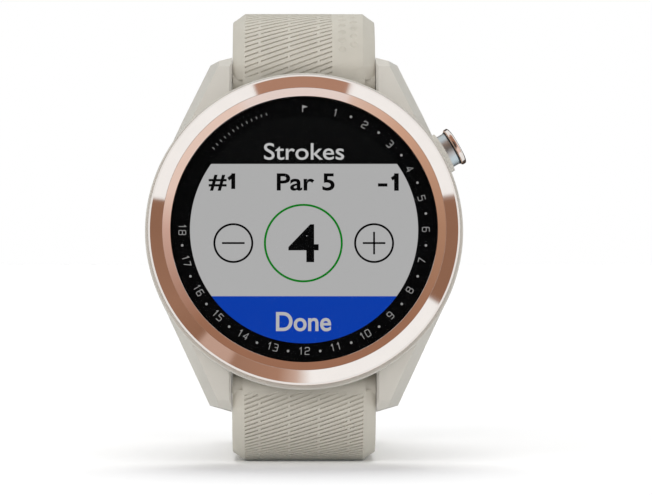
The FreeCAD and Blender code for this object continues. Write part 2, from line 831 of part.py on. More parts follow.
def make_button():
    """The push button, its shaft, seals, clip and return spring."""
    button_body("button_cap", [
        ("0", "cap_inner"),
        ("cap_radius - 0.12", "cap_inner"),
        ("cap_radius", "cap_inner + 0.12"),
        ("cap_radius", "cap_outer - 0.35"),
        ("cap_radius - 0.28", "cap_outer - 0.08"),
        ("cap_radius - 0.7", "cap_outer"),
        ("0", "cap_outer"),
    ])
    button_body("button_ring", [
        ("0", "ring_inner"),
        ("ring_radius", "ring_inner"),
        ("ring_radius", "cap_inner"),
        ("0", "cap_inner"),
    ])
    button_body("button_stem", [
        ("0", "shaft_end"),
        ("shaft_radius - 0.1", "shaft_end"),
        ("shaft_radius", "shaft_end + 0.1"),
        ("shaft_radius", "clip_inner"),
        ("shaft_radius - 0.3", "clip_inner"),
        ("shaft_radius - 0.3", "clip_outer"),
        ("shaft_radius", "clip_outer"),
        ("shaft_radius", "18.75"),
        ("shaft_radius - 0.3", "18.75"),
        ("shaft_radius - 0.3", "19.55"),
        ("shaft_radius", "19.55"),
        ("shaft_radius", "barrel_inner"),
        ("barrel_radius", "barrel_inner"),
        ("barrel_radius", "ring_inner"),
        ("0", "ring_inner"),
    ])
    seals = []
    for reach in (18.95, 19.35):
        ring = document.addObject("Part::Torus", "Seal")
        ring.Radius1, ring.Radius2 = 0.81, 0.155
        ring.Placement = Placement(Vector(0, reach, 0), Rotation(Z_AXIS, Y_AXIS))
        seals.append(ring)
    group("button_seals", seals, button_frame())
    clip = rod("ClipDisc", "1.55", Vector(0, size("clip_inner"), 0), 0.25, Y_AXIS)
    hole = rod("ClipHole", "shaft_radius - 0.28", Vector(0, 17, 0), 3, Y_AXIS)
    mouth = document.addObject("Part::Box", "ClipMouth")
    mouth.Length, mouth.Width, mouth.Height = 1.2, 3, 3
    mouth.Placement = Placement(Vector(-0.6, 17, 0), Rotation())
    cut_with("button_retaining_clip", clip, [hole, mouth], button_frame())
    make_button_spring()
    switch = finish(document.addObject("PartDesign::Body", "button_switch"), "button_switch", button_frame())
    add_button_block(switch, 2.8, 3.4, 15.45, 16.6)
    add_switch_nose(switch)
    bracket = finish(document.addObject("PartDesign::Body", "switch_bracket"), "switch_bracket", button_frame())
    add_button_block(bracket, 3.0, 4.4, 15.0, 15.45)


def add_button_block(body, deep, wide, start, stop):
    """A block square to the button's axis, deep along the case's axis."""
    sketch = new_sketch(body, "XZ_Plane", f"-{start}")
    add_rectangle(sketch, f"-{wide} / 2", f"{wide} / 2", f"-{deep} / 2", f"{deep} / 2")
    add_pad(body, sketch, f"{stop} - {start}")


def add_switch_nose(body):
    """The small plunger on the switch, just short of the shaft's travel."""
    sketch = new_sketch(body, "XZ_Plane", "-16.6")
    add_circle(sketch, "0", "0", "0.6")
    add_pad(body, sketch, "0.45")


def make_button_spring():
    """The coil between the bore's floor and the barrel."""
    coil_radius, wire_radius, turns = 1.5, 0.12, 3
    start = size("bore_floor") + wire_radius + 0.02
    rise = size("barrel_inner") - size("bore_floor") - 2 * wire_radius - 0.04
    helix = Part.makeHelix(rise / turns, rise, coil_radius)
    profile = Part.Wire([Part.Circle(Vector(coil_radius, 0, 0), Y_AXIS, wire_radius).toShape()])
    spring = document.addObject("Part::Feature", "button_spring")
    spring.Shape = Part.Wire(helix.Edges).makePipeShell([profile], True, True)
    finish(spring, "button_spring", button_frame() * Placement(Vector(0, start, 0), Rotation(Z_AXIS, Y_AXIS)))


# --- spring bars -------------------------------------------------------------

def bar_frame(side):
    """The placement whose X axis is one spring bar's; its Y points back."""
    return watch_frame() * Placement(Vector(0, size("bar_depth"), side * size("bar_height")), Rotation())


def make_spring_bar(name, side):
    """A quick-release bar: tube with a fixed pin, sliding pin with lever, spring."""
    place = bar_frame(side)
    half = size("bar_length") / 2
    tube = rod("Tube", "bar_radius", Vector(-half, 0, 0), 2 * half, X_AXIS)
    fixed = rod("FixedPin", "pin_radius", Vector(-size("pin_reach"), 0, 0), 2.0, X_AXIS)
    solid = document.addObject("Part::Fuse", "BarSolid")
    solid.Base, solid.Tool = tube, fixed
    bore = rod("Bore", "bar_bore", Vector(-4.0, 0, 0), half + 6.0, X_AXIS)
    slot = document.addObject("Part::Box", "LeverSlot")
    slot.Length, slot.Width, slot.Height = 2.6, 2.0, 0.92
    slot.Placement = Placement(Vector(3.5, 0, -0.46), Rotation())
    cut_with(f"{name}_spring_bar", solid, [bore, slot], place)
    reach = size("pin_reach")
    stem = rod("PinStem", "pin_radius", Vector(2.0, 0, 0), reach - 2.0, X_AXIS)
    post = rod("LeverPost", "0.4", Vector(5.5, 0, 0), 2.5, Y_AXIS)
    pin = document.addObject("Part::Fuse", f"{name}_release_pin")
    pin.Base, pin.Tool = stem, post
    finish(pin, f"{name}_release_pin", place)
    spring = document.addObject("Part::Feature", f"{name}_bar_spring")
    coil_radius, wire_radius, pitch, length = 0.34, 0.1, 0.7, 5.6
    helix = Part.makeHelix(pitch, length, coil_radius)
    turns = [math.radians(45 * step + 22.5) for step in range(8)]
    rim = [Vector(coil_radius + wire_radius * math.cos(a), 0, wire_radius * math.sin(a)) for a in turns]
    profile = Part.makePolygon(rim + rim[:1])
    spring.Shape = Part.Wire(helix.Edges).makePipeShell([profile], True, True)
    finish(spring, f"{name}_bar_spring", place * Placement(Vector(-3.85, 0, 0), Rotation(Z_AXIS, X_AXIS)))


# --- straps ------------------------------------------------------------------

def strap_outline(side, sweep):
    """A strap's side view: shoulder round the lug, level run, rear curve."""
    name = "upper" if side > 0 else "lower"
    cy, cz = f"{name}_shoulder_depth", f"{name}_shoulder_height"
    bar_y, bar_z = bar_in_loop(side)
    outer, inner = "shoulder_radius", "(shoulder_radius - strap_thick)"
    rear, rear_in = "rear_radius", "(rear_radius - strap_thick)"
    first = "shoulder_start * 1deg"
    end = f"({sweep}) * 1deg"
    near_y = f"{bar_y:.4f} - knuckle_radius"
    clockwise, back = -side, side
    return [
        (f"{bar_y:.4f}", f"{bar_z:.4f}"),
        (near_y, f"{bar_z:.4f}"),
        (f"{cy} - {outer} * cos({first})", f"{cz} + {side} * {outer} * sin({first})", cy, cz, clockwise),
        (cy, f"{cz} + {side} * {outer}"),
        ("rear_depth", f"rear_height + {side} * {rear}", "rear_depth", "rear_height", clockwise),
        (f"rear_depth + {rear} * sin({end})", f"rear_height + {side} * {rear} * cos({end})"),
        (f"rear_depth + {rear_in} * sin({end})", f"rear_height + {side} * {rear_in} * cos({end})",
         "rear_depth", "rear_height", back),
        ("rear_depth", f"rear_height + {side} * {rear_in}"),
        (cy, f"{cz} + {side} * {inner}", cy, cz, back),
        (f"{cy} - {inner} * cos(17deg)", f"{cz} + {side} * {inner} * sin(17deg)"),
    ]


def strap_body(name, side, sweep):
    """The band with its knuckle round the spring bar and bevelled long edges."""
    body = document.addObject("PartDesign::Body", f"{name}_strap_band")
    profile = new_sketch(body, "YZ_Plane")
    add_outline(profile, strap_outline(side, sweep))
    add_pad(body, profile, "strap_width - 0.28", both=True)
    reach = size("rear_radius")
    far = size("strap_width") / 2 - 0.14

    def long_edge(edge):
        point = middle(edge)
        if abs(abs(point.x) - far) > 0.01 or edge.Length < 4:
            return False
        hub = Vector(0, size("rear_depth"), size("rear_height"))
        shoulder = Vector(0, size(f"{name}_shoulder_depth"), size(f"{name}_shoulder_height"))
        flat = Vector(0, point.y, point.z)
        on_rear = point.y > hub.y and abs((flat - hub).Length - reach) < 0.05
        on_run = shoulder.y < point.y < hub.y and abs(abs(point.z - hub.z) - reach) < 0.05
        on_shoulder = point.y < shoulder.y and abs((flat - shoulder).Length - size("shoulder_radius")) < 0.05
        return on_rear or on_run or on_shoulder

    add_chamfer(body, long_edge, "strap_edge", "strap_edge_side")
    bar_y, bar_z = bar_in_loop(side)
    knuckle = new_sketch(body, "YZ_Plane")
    add_circle(knuckle, f"{bar_y:.4f}", f"{bar_z:.4f}", "knuckle_radius")
    add_pad(body, knuckle, "strap_width - 0.28", both=True)
    bore = new_sketch(body, "YZ_Plane")
    add_circle(bore, f"{bar_y:.4f}", f"{bar_z:.4f}", "knuckle_hole")
    add_pocket(body, bore, "strap_width + 2", both=True)
    return body


def lever_cutter(side):
    """The slot through which the quick-release lever is reached."""
    bar_y, bar_z = bar_in_loop(side)
    box = document.addObject("Part::Box", "LeverWindow")
    box.Length, box.Width, box.Height = 4.2, 4.0, 1.6
    turned = Rotation(X_AXIS, -size("face_lean"))
    corner = Vector(0, bar_y, bar_z) + turned.multVec(Vector(3.2, 0, -0.8))
    box.Placement = Placement(corner, turned)
    return box


def band_point(side, angle, inward=1.4):
    """A point in the rear curve of the band, and the way out of the loop there."""
    turn = math.radians(angle)
    out = Vector(0, math.sin(turn), side * math.cos(turn))
    hub = Vector(0, size("rear_depth"), size("rear_height"))
    return hub + out * (size("rear_radius") - inward), out


def hole_places():
    """Each adjustment hole's point on the lower band's outer face and its direction."""
    places = []
    shoulder = Vector(0, size("lower_shoulder_depth"), size("lower_shoulder_height"))
    mid = size("shoulder_radius") - size("strap_thick") / 2
    rear_mid = size("rear_radius") - size("strap_thick") / 2
    arc = math.radians(90 - size("shoulder_start")) * mid
    run = size("rear_depth") - size("lower_shoulder_depth")
    for i in range(int(size("hole_count"))):
        along = size("hole_first") + size("hole_pitch") * i - 2.0
        if along < arc + run:
            down = Vector(0, 0, -1)
            foot = shoulder + Vector(0, along - arc, -size("shoulder_radius"))
            places.append((foot, down))
            continue
        angle = math.degrees((along - arc - run) / rear_mid)
        places.append(band_point(-1, angle, 0))
    return places


def make_lower_strap():
    """The long strap, with its row of adjustment holes and rounded tip."""
    body = strap_body("lower", -1, "lower_sweep")
    end, out = band_point(-1, size("lower_sweep"))

    def tip_edge(edge):
        point = middle(edge)
        flat = Vector(0, point.y, point.z)
        return (flat - end).Length < 1.0 and abs(edge.tangentAt(edge.FirstParameter).dot(out)) > 0.9

    add_fillet(body, tip_edge, "tip_round")
    tools = [lever_cutter(-1)]
    for foot, way in hole_places():
        tools.append(rod("StrapHole", "hole_radius", foot + way, 6.0, -way))
    cut_with("lower_strap", body, tools, loop_frame())


def make_upper_strap():
    """The short strap, with a loop for the buckle bar at its end."""
    body = strap_body("upper", 1, "upper_sweep")
    centre, out = band_point(1, size("upper_sweep"))
    eye = rod("EndEye", "strap_end_radius", centre + Vector(-9.86, 0, 0), 19.72, X_AXIS)
    whole = document.addObject("Part::Fuse", "UpperStrapWhole")
    whole.Base, whole.Tool = body, eye
    hole = rod("BuckleBarHole", "buckle_bar_hole", centre + Vector(-12, 0, 0), 24, X_AXIS)
    notch = document.addObject("Part::Box", "TongueNotch")
    notch.setExpression("Length", bound("tongue_notch"))
    notch.Width, notch.Height = 10, 8
    along = Rotation(X_AXIS, -size("upper_sweep"))
    corner = centre + along.multVec(Vector(-size("tongue_notch") / 2, -4.6, -4))
    notch.Placement = Placement(corner, along)
    cut_with("upper_strap", whole, [hole, notch, lever_cutter(1)], loop_frame())


# --- keepers and buckle ------------------------------------------------------

def keeper(label, sweep):
    """A loop round the band's rear curve, with room above it for the other strap's tail."""
    body = document.addObject("PartDesign::Body", label)
    ring = new_sketch(body, "XZ_Plane", "-keeper_length / 2")
    add_rectangle(ring, "-keeper_wide / 2 - keeper_wall", "keeper_wide / 2 + keeper_wall",
                  "-keeper_wall", "keeper_tall + keeper_wall")
    add_pad(body, ring, "keeper_length", forward=True)
    add_fillet(body, runs_along, "1.6")
    hole = new_sketch(body, "XZ_Plane", "-keeper_length")
    add_rectangle(hole, "-keeper_wide / 2", "keeper_wide / 2", "0", "keeper_tall")
    add_pocket(body, hole, "2 * keeper_length", forward=True)
    foot, _ = band_point(1, size(sweep), size("strap_thick") + size("keeper_play"))
    return finish(body, label, loop_frame() * Placement(foot, Rotation(X_AXIS, -size(sweep))))


def runs_along(edge):
    """Whether a keeper's edge runs along the band."""
    return abs(edge.Vertexes[0].Y - edge.Vertexes[-1].Y) > 4


def make_keepers():
    """The keeper that slides along the rear curve and the one fixed by the buckle."""
    keeper("sliding_keeper", "free_keeper_sweep")
    keeper("fixed_keeper", "fixed_keeper_sweep")


def buckle_place():
    """The placement at the buckle's bar: X along it, Y away from the strap, Z out."""
    centre, _ = band_point(1, size("upper_sweep"))
    return loop_frame() * Placement(centre, Rotation(X_AXIS, -size("upper_sweep")))


def make_buckle():
    """The buckle frame, its bar and its tongue."""
    place = buckle_place()
    frame = document.addObject("PartDesign::Body", "buckle_frame")
    make_buckle_ring(frame)
    finish(frame, "buckle_frame", place)
    half = size("buckle_outer") / 2 - 0.3
    finish(rod("buckle_bar", "buckle_bar_radius", Vector(0, 0, 0), 2 * half, X_AXIS), "buckle_bar",
           place * Placement(Vector(-half, 0, 0), Rotation(Z_AXIS, X_AXIS)))
    make_tongue(place)


def make_buckle_ring(frame):
    """The frame is a U whose open end is closed by the bar."""
    plan = new_sketch(frame, "XY_Plane", "-buckle_thick / 2")
    inner, outer = "buckle_inner / 2", "buckle_outer / 2"
    add_outline(plan, [
        (f"-({outer})", "-buckle_tail"),
        (f"-({inner})", "-buckle_tail"),
        (f"-({inner})", "buckle_reach - buckle_bridge"),
        (inner, "buckle_reach - buckle_bridge"),
        (inner, "-buckle_tail"),
        (outer, "-buckle_tail"),
        (outer, "buckle_reach"),
        (f"-({outer})", "buckle_reach"),
    ])
    add_pad(frame, plan, "buckle_thick", forward=True)
    far = size("buckle_outer") / 2

    def outer_corner(edge):
        point = middle(edge)
        upright = abs(edge.Vertexes[0].Z - edge.Vertexes[-1].Z) > 2
        return upright and abs(abs(point.x) - far) < 0.01

    add_fillet(frame, outer_corner, "1.4")

    def rim(edge):
        point = middle(edge)
        on_face = abs(abs(point.z) - size("buckle_thick") / 2) < 0.01
        return on_face and (abs(point.x) > size(inner) + 0.1 or point.y > size("buckle_reach") - 0.1)

    add_chamfer(frame, rim, "0.35")
    bar = new_sketch(frame, "YZ_Plane")
    add_circle(bar, "0", "0", "buckle_bar_radius + 0.01")
    add_pocket(frame, bar, "buckle_outer - 0.6", both=True)


def make_tongue(place):
    """The tongue: an eye on the bar and a blade that rests on the frame's bridge."""
    lift = size("buckle_thick") / 2
    eye = rod("TongueEye", "tongue_loop", Vector(-1.1, 0, 0), 2.2, X_AXIS)
    blade = document.addObject("Part::Box", "TongueBlade")
    blade.setExpression("Length", bound("tongue_width"))
    blade.setExpression("Height", bound("tongue_thick"))
    blade.Width = size("buckle_reach") + 0.4
    blade.Placement = Placement(Vector(-size("tongue_width") / 2, 0, lift + 0.05), Rotation())
    web = document.addObject("Part::Box", "TongueWeb")
    web.setExpression("Length", bound("tongue_width"))
    web.Width, web.Height = 1.45, lift + 0.6
    web.Placement = Placement(Vector(-size("tongue_width") / 2, 0, 0), Rotation())
    whole = document.addObject("Part::MultiFuse", "TongueWhole")
    whole.Shapes = [eye, blade, web]
    hole = rod("TongueHole", "buckle_bar_hole", Vector(-2, 0, 0), 4, X_AXIS)
    cut_with("buckle_tongue", whole, [hole], place)


# --- build and write ---------------------------------------------------------

def check_document():
    """Stop if any object failed, or any sub-part has no valid shape."""
    document.recompute()
    for item in document.Objects:
        if "Invalid" in item.State or "Error" in item.State:
            raise RuntimeError(f"{item.Label} failed: {item.State}")
    for item in SUB_PARTS:
        if item.Shape.isNull() or not item.Shape.isValid() or item.Shape.Volume <= 0:
            raise RuntimeError(f"{item.Label} has no valid shape")


def write_parts():
    """Write each sub-part to its own STEP file."""
    os.makedirs("parts", exist_ok=True)
    for item in SUB_PARTS:
        item.Shape.exportStep(f"parts/{item.Label}.step")


def main():
    make_case()
    make_bezel()
    make_lens()
    make_display()
    make_board()
    make_components()
    make_battery()
    make_rear_cover()
    make_screws()
    make_contacts()
    make_button()
    for name, side in (("upper", 1), ("lower", -1)):
        make_spring_bar(name, side)
    make_upper_strap()
    make_lower_strap()
    make_keepers()
    make_buckle()
    check_document()
    write_parts()
    for item in SUB_PARTS:
        print(f"{item.Label:26s} {len(item.Shape.Solids)} solid(s) {item.Shape.Volume:9.2f} mm3")


main()
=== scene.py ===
import math

import bmesh
import bpy
import numpy as np
from bpy.props import (FloatProperty, FloatVectorProperty, IntProperty, PointerProperty,
                       StringProperty)
from mathutils import Matrix, Vector


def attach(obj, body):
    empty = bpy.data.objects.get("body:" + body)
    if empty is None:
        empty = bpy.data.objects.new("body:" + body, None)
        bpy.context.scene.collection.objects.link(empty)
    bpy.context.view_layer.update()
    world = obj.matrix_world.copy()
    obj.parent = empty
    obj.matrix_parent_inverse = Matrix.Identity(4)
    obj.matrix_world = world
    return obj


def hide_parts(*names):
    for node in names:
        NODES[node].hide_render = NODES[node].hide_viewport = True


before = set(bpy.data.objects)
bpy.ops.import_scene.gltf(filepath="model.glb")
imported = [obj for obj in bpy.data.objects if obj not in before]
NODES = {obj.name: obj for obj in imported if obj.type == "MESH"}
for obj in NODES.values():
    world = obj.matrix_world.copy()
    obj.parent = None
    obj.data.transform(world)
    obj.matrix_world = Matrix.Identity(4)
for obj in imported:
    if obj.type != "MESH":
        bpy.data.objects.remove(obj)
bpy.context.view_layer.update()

bl_info = {
    "name": "Golf Watch",
    "version": (1, 0, 0),
    "blender": (4, 5, 0),
    "location": "3D View > Sidebar > Golf Watch",
    "description": "Finishes a golf watch: case, bezel, dial, display, ribbed straps, buckle and studio",
    "category": "Object",
}

SLOT_OF_NODE = {name: node.data.materials[0].name for name, node in NODES.items()}

# --- frames and sizes ----------------------------------------------------------
# Sizes are in millimetres. The watch frame has its origin at the centre of the
# bezel's front: across to the wearer's right, deep into the case, up to the
# upper strap. The loop frame shares that origin and lies level with the ground.

MM = 0.001
LEAN = math.radians(5.5)
REST_OFFSET = 28.95
STAND_HEIGHT = 32.4

HALF_STRAP = 9.92
STRAP_THICK = 2.8
UPPER_SHOULDER = (17.0, 20.8)
LOWER_SHOULDER = (12.9, -22.9)
UPPER_BAR = (10.431, 20.695)
LOWER_BAR = (6.291, -22.305)
SHOULDER_RADIUS = 9.5
SHOULDER_START = math.radians(11.2)
REAR_DEPTH = 45.0
REAR_HEIGHT = -1.05
REAR_RADIUS = 31.35
UPPER_SWEEP = math.radians(70)
LOWER_SWEEP = math.radians(84)

# The strap's cross-section as (across, depth) and its slanted grooves, which
# break at different places in even and odd rows.
FLAT_HALF = 8.26
EDGE_BEVEL = [(FLAT_HALF + 0.53, 0.40), (FLAT_HALF + 1.07, 0.80), (HALF_STRAP - 0.1, 1.12),
              (HALF_STRAP, 1.25)]
EDGE_UNDER = [(HALF_STRAP, 2.3), (HALF_STRAP - 0.13, 2.63), (HALF_STRAP - 0.45, STRAP_THICK)]
COLUMN_COUNT = 15
COLUMN_GAP = 0.3
GROOVE_WALL = 0.03
GROOVE_START = 0.6
EVEN_BREAKS = (-2.05, 6.15)
ODD_BREAKS = (-6.15, 2.05)
BRIDGE_HALF = 0.2
RIB_CROWN = 0.02
RIB_EDGE = 8.15
MARGIN_START = 3.9
TIP_RADIUS = 6.5
RIB_MARGIN = 9.0
UPPER_PHASE = 0.55
LOWER_PHASE = 0.274
STRAP_WELD = 2e-6

# The round ends, the buckle's eye and the dimples.
KNUCKLE_RADIUS = 2.3
KNUCKLE_HALF = 8.5
KNUCKLE_HOLE = 0.8
COLLAR_RADIUS = 2.15
COLLAR_SHIFT = (0.5, -0.2)
LEVER_WINDOW = (4.2, 4.0, 1.6)
LEVER_ACROSS = 5.3
BORE_REACH = 12
EYE_RADIUS = 1.9
EYE_HOLE = 0.8
TONGUE_NOTCH = (3.2, 10, 8)
NOTCH_SHIFT = 0.4
DIMPLE_ROWS = (5.35, 6.95)
DIMPLE_RADIUS = 0.85
DIMPLE_SINK = 0.2
DIMPLE_PITCH = 1.5
DIMPLE_START = 2.4
DIMPLE_END = 6

# The plain lane with the adjustment holes, and the keepers.
HOLE_COUNT = 12
HOLE_START = 20.8
HOLE_PITCH = 5.0
HOLE_RADIUS = 1.15
LANE_HALF = 2.3
LANE_START = 18.0
KEEPER_HALF_WIDE = 10.95
KEEPER_LOW = -0.65
KEEPER_HIGH = 6.85
KEEPER_WALL = 1.3
KEEPER_LENGTH = 5.0
KEEPER_PLAY = 0.22
FREE_KEEPER_SWEEP = math.radians(44.5)
FIXED_KEEPER_SWEEP = math.radians(56)

# Turned parts as (radius, depth) or, for the button, (radius, distance out).
BEZEL_PROFILE = [(18.3, 1.95), (18.3, 0.55), (19.42, 0.0), (21.13, 1.08), (21.4, 1.35),
                 (21.4, 3.3), (19.45, 3.3), (19.45, 1.95)]
BEZEL_SOFT_ANGLE = 3
GLASS_RADIUS = 18.28
GLASS_FRONT = 0.4
GLASS_BACK = 1.6
GLASS_BEVEL = [(0, GLASS_FRONT), (17.9, GLASS_FRONT), (GLASS_RADIUS, 0.78)]
BUTTON_PROFILE = [(0.0, 23.8), (2.6, 23.8), (2.735, 23.92), (2.735, 24.32), (2.66, 24.44),
                  (2.5, 24.53), (2.3, 24.58), (2.05, 24.6), (1.9, 24.53), (1.75, 24.52),
                  (1.6, 24.55), (0.0, 24.58)]
BUTTON_BEARING = math.radians(30)
BUTTON_DEPTH = 6.8

# Depths of the print and the screen behind the bezel's front.
PRINT_DEPTH = 1.58
BORDER_DEPTH = 1.62
SCREEN_DEPTH = 1.66
BAND_DEPTH = 1.71

# The printed border: degrees from one hole number to the next, the last number
# whose top points away from the centre, the dots between them and the ticks.
BORDER_RADIUS = 18.29
NUMBER_STEP = 15
LAST_OUTWARD = 6
DOT_CIRCLE = 16.85
DOT_RADIUS = 0.17
TICK_BEARINGS = np.radians(np.arange(108, 139, 2.5))
TICK_INNER = 16.55
TICK_OUTER = 16.95
TICK_WIDTH = 0.07

# The screen: its bands, the counter's ring and the keys beside it.
SCREEN_RADIUS = 15.9
SCREEN_HALF = 15.8
TITLE_BOTTOM = 9.06
ANSWER_TOP = -9.18
COUNTER_RING = (5.41, 5.12)
KEY_RING = (2.74, 2.46)
KEY_PLACES = {"minus": -9.7, "plus": 9.6}
KEY_HEIGHT = -1.87
SIGN_REACH = 1.55
SIGN_WIDTH = 0.26

# Words on the display: setting, box (left, right, bottom, top), light and weight.
WORDS = [
    ("title", (-5.5, 5.5, 9.62, 11.95), "pale", 0.006),
    ("hole", (-13.1, -9.45, 5.35, 7.75), "dark", 0.02),
    ("par", (-3.75, 4.2, 5.35, 7.75), "dark", 0.02),
    ("balance", (10.15, 13.0, 5.35, 7.75), "dark", 0.02),
    ("count", (-2.15, 2.0, -4.5, 0.72), "dark", 0.014),
    ("answer", (-3.85, 3.7, -14.0, -11.35), "mist", 0.018),
]


def in_watch(points):
    """Points (across, deep, up) of the watch frame, as metres on the ground's frame."""
    x, s, v = np.asarray(points, float).reshape(-1, 3).T
    y = s * math.cos(LEAN) + v * math.sin(LEAN) - REST_OFFSET
    z = v * math.cos(LEAN) - s * math.sin(LEAN) + STAND_HEIGHT
    return np.stack([x, y, z], 1) * MM


def in_loop(points):
    """Points (across, deep, up) of the level loop frame, as metres on the ground's frame."""
    return (np.asarray(points, float).reshape(-1, 3) + (0, -REST_OFFSET, STAND_HEIGHT)) * MM


# --- settings ------------------------------------------------------------------

class CaseSettings(bpy.types.PropertyGroup):
    """The polymer case and the rear cover."""

    colour: FloatVectorProperty(
        name="Case colour", description="Warm grey of the moulded case", subtype="COLOR",
        size=3, min=0, max=1, default=(0.585, 0.557, 0.503))
    grain: FloatProperty(
        name="Grain depth", description="Depth of the mould's fine grain",
        unit="LENGTH", default=0.000012)


class BezelSettings(bpy.types.PropertyGroup):
    """The rose gold bezel and button cap."""

    colour: FloatVectorProperty(
        name="Metal colour", description="Rose gold plating", subtype="COLOR",
        size=3, min=0, max=1, default=(0.93, 0.66, 0.54))
    edge_round: FloatProperty(
        name="Edge rounding", description="Radius of the polished edges between facets",
        unit="LENGTH", default=0.00006)
    roughness: FloatProperty(
        name="Roughness", description="How satin the polish is", subtype="FACTOR",
        min=0, max=1, default=0.055)


class DialSettings(bpy.types.PropertyGroup):
    """The black printed border with its hole numbers."""

    numeral_height: FloatProperty(
        name="Numeral height", description="Height of a hole number", unit="LENGTH", default=0.00095)
    numeral_radius: FloatProperty(
        name="Numeral circle", description="Radius on which the hole numbers stand",
        unit="LENGTH", default=0.0167)
    window_radius: FloatProperty(
        name="Window radius", description="Inner edge of the black border", unit="LENGTH", default=0.01565)
    ink: FloatVectorProperty(
        name="Ink", description="Grey of the printed numbers", subtype="COLOR",
        size=3, min=0, max=1, default=(0.33, 0.33, 0.33))
    holes: IntProperty(
        name="Holes", description="Hole numbers printed round the dial", default=18, min=1, max=18)


class DisplaySettings(bpy.types.PropertyGroup):
    """What the display shows while a hole is scored."""

    title: StringProperty(name="Title", description="Word in the black band", default="Strokes")
    hole: StringProperty(name="Hole", description="Number of the hole", default="#1")
    par: StringProperty(name="Par", description="Par of the hole", default="Par 5")
    balance: StringProperty(name="Balance", description="Strokes over or under par", default="-1")
    count: StringProperty(name="Count", description="Strokes counted so far", default="4")
    answer: StringProperty(name="Answer", description="Word in the coloured band", default="Done")
    field: FloatVectorProperty(
        name="Field", description="Pale grey of the middle band", subtype="COLOR",
        size=3, min=0, max=1, default=(0.462, 0.462, 0.462))
    accent: FloatVectorProperty(
        name="Accent", description="Blue of the lower band", subtype="COLOR",
        size=3, min=0, max=1, default=(0.0024, 0.0467, 0.418))


class BandSettings(bpy.types.PropertyGroup):
    """The ribbed silicone straps and their keepers."""

    colour: FloatVectorProperty(
        name="Silicone colour", description="Warm grey of the straps", subtype="COLOR",
        size=3, min=0, max=1, default=(0.56, 0.527, 0.458))
    upper_pitch: FloatProperty(
        name="Upper groove pitch", description="Distance between grooves on the upper strap",
        unit="LENGTH", default=0.00076)
    lower_pitch: FloatProperty(
        name="Lower groove pitch", description="Distance between grooves on the lower strap",
        unit="LENGTH", default=0.00065)
    groove_depth: FloatProperty(
        name="Groove depth", description="Depth of a slanted groove", unit="LENGTH", default=0.00024)
    groove_width: FloatProperty(
        name="Groove width", description="Width of a slanted groove", unit="LENGTH", default=0.00025)
    slope: FloatProperty(
        name="Groove slope", description="Slant of the grooves across the strap",
        subtype="ANGLE", default=math.radians(21))


class StageSettings(bpy.types.PropertyGroup):
    """Floor, camera and lights."""

    distance: FloatProperty(
        name="Camera distance", description="From the camera to the watch", unit="LENGTH", default=0.54895)
    focal: FloatProperty(
        name="Focal length", description="Focal length of the lens in millimetres", default=210.0)
    floor: FloatVectorProperty(
        name="Floor colour", description="Pale floor", subtype="COLOR",
        size=3, min=0, max=1, default=(0.98, 0.98, 0.98))
    daylight: FloatProperty(
        name="Surround light", description="Strength of the soft light that matt surfaces get from all round",
        default=0.84)


# --- materials -----------------------------------------------------------------

# Wave texture scale that gives one stripe a metre, the pitch of the display's
# dots in millimetres, and the scale of the board's tracks.
WAVE_SCALE = 0.314
DISPLAY_PITCH = 0.118
BOARD_SCALE = 900.0


def join(tree, socket, source):
    """Join a node's output to a socket, or set the socket to a value."""
    if isinstance(source, bpy.types.NodeSocket):
        tree.links.new(source, socket)
    else:
        socket.default_value = source


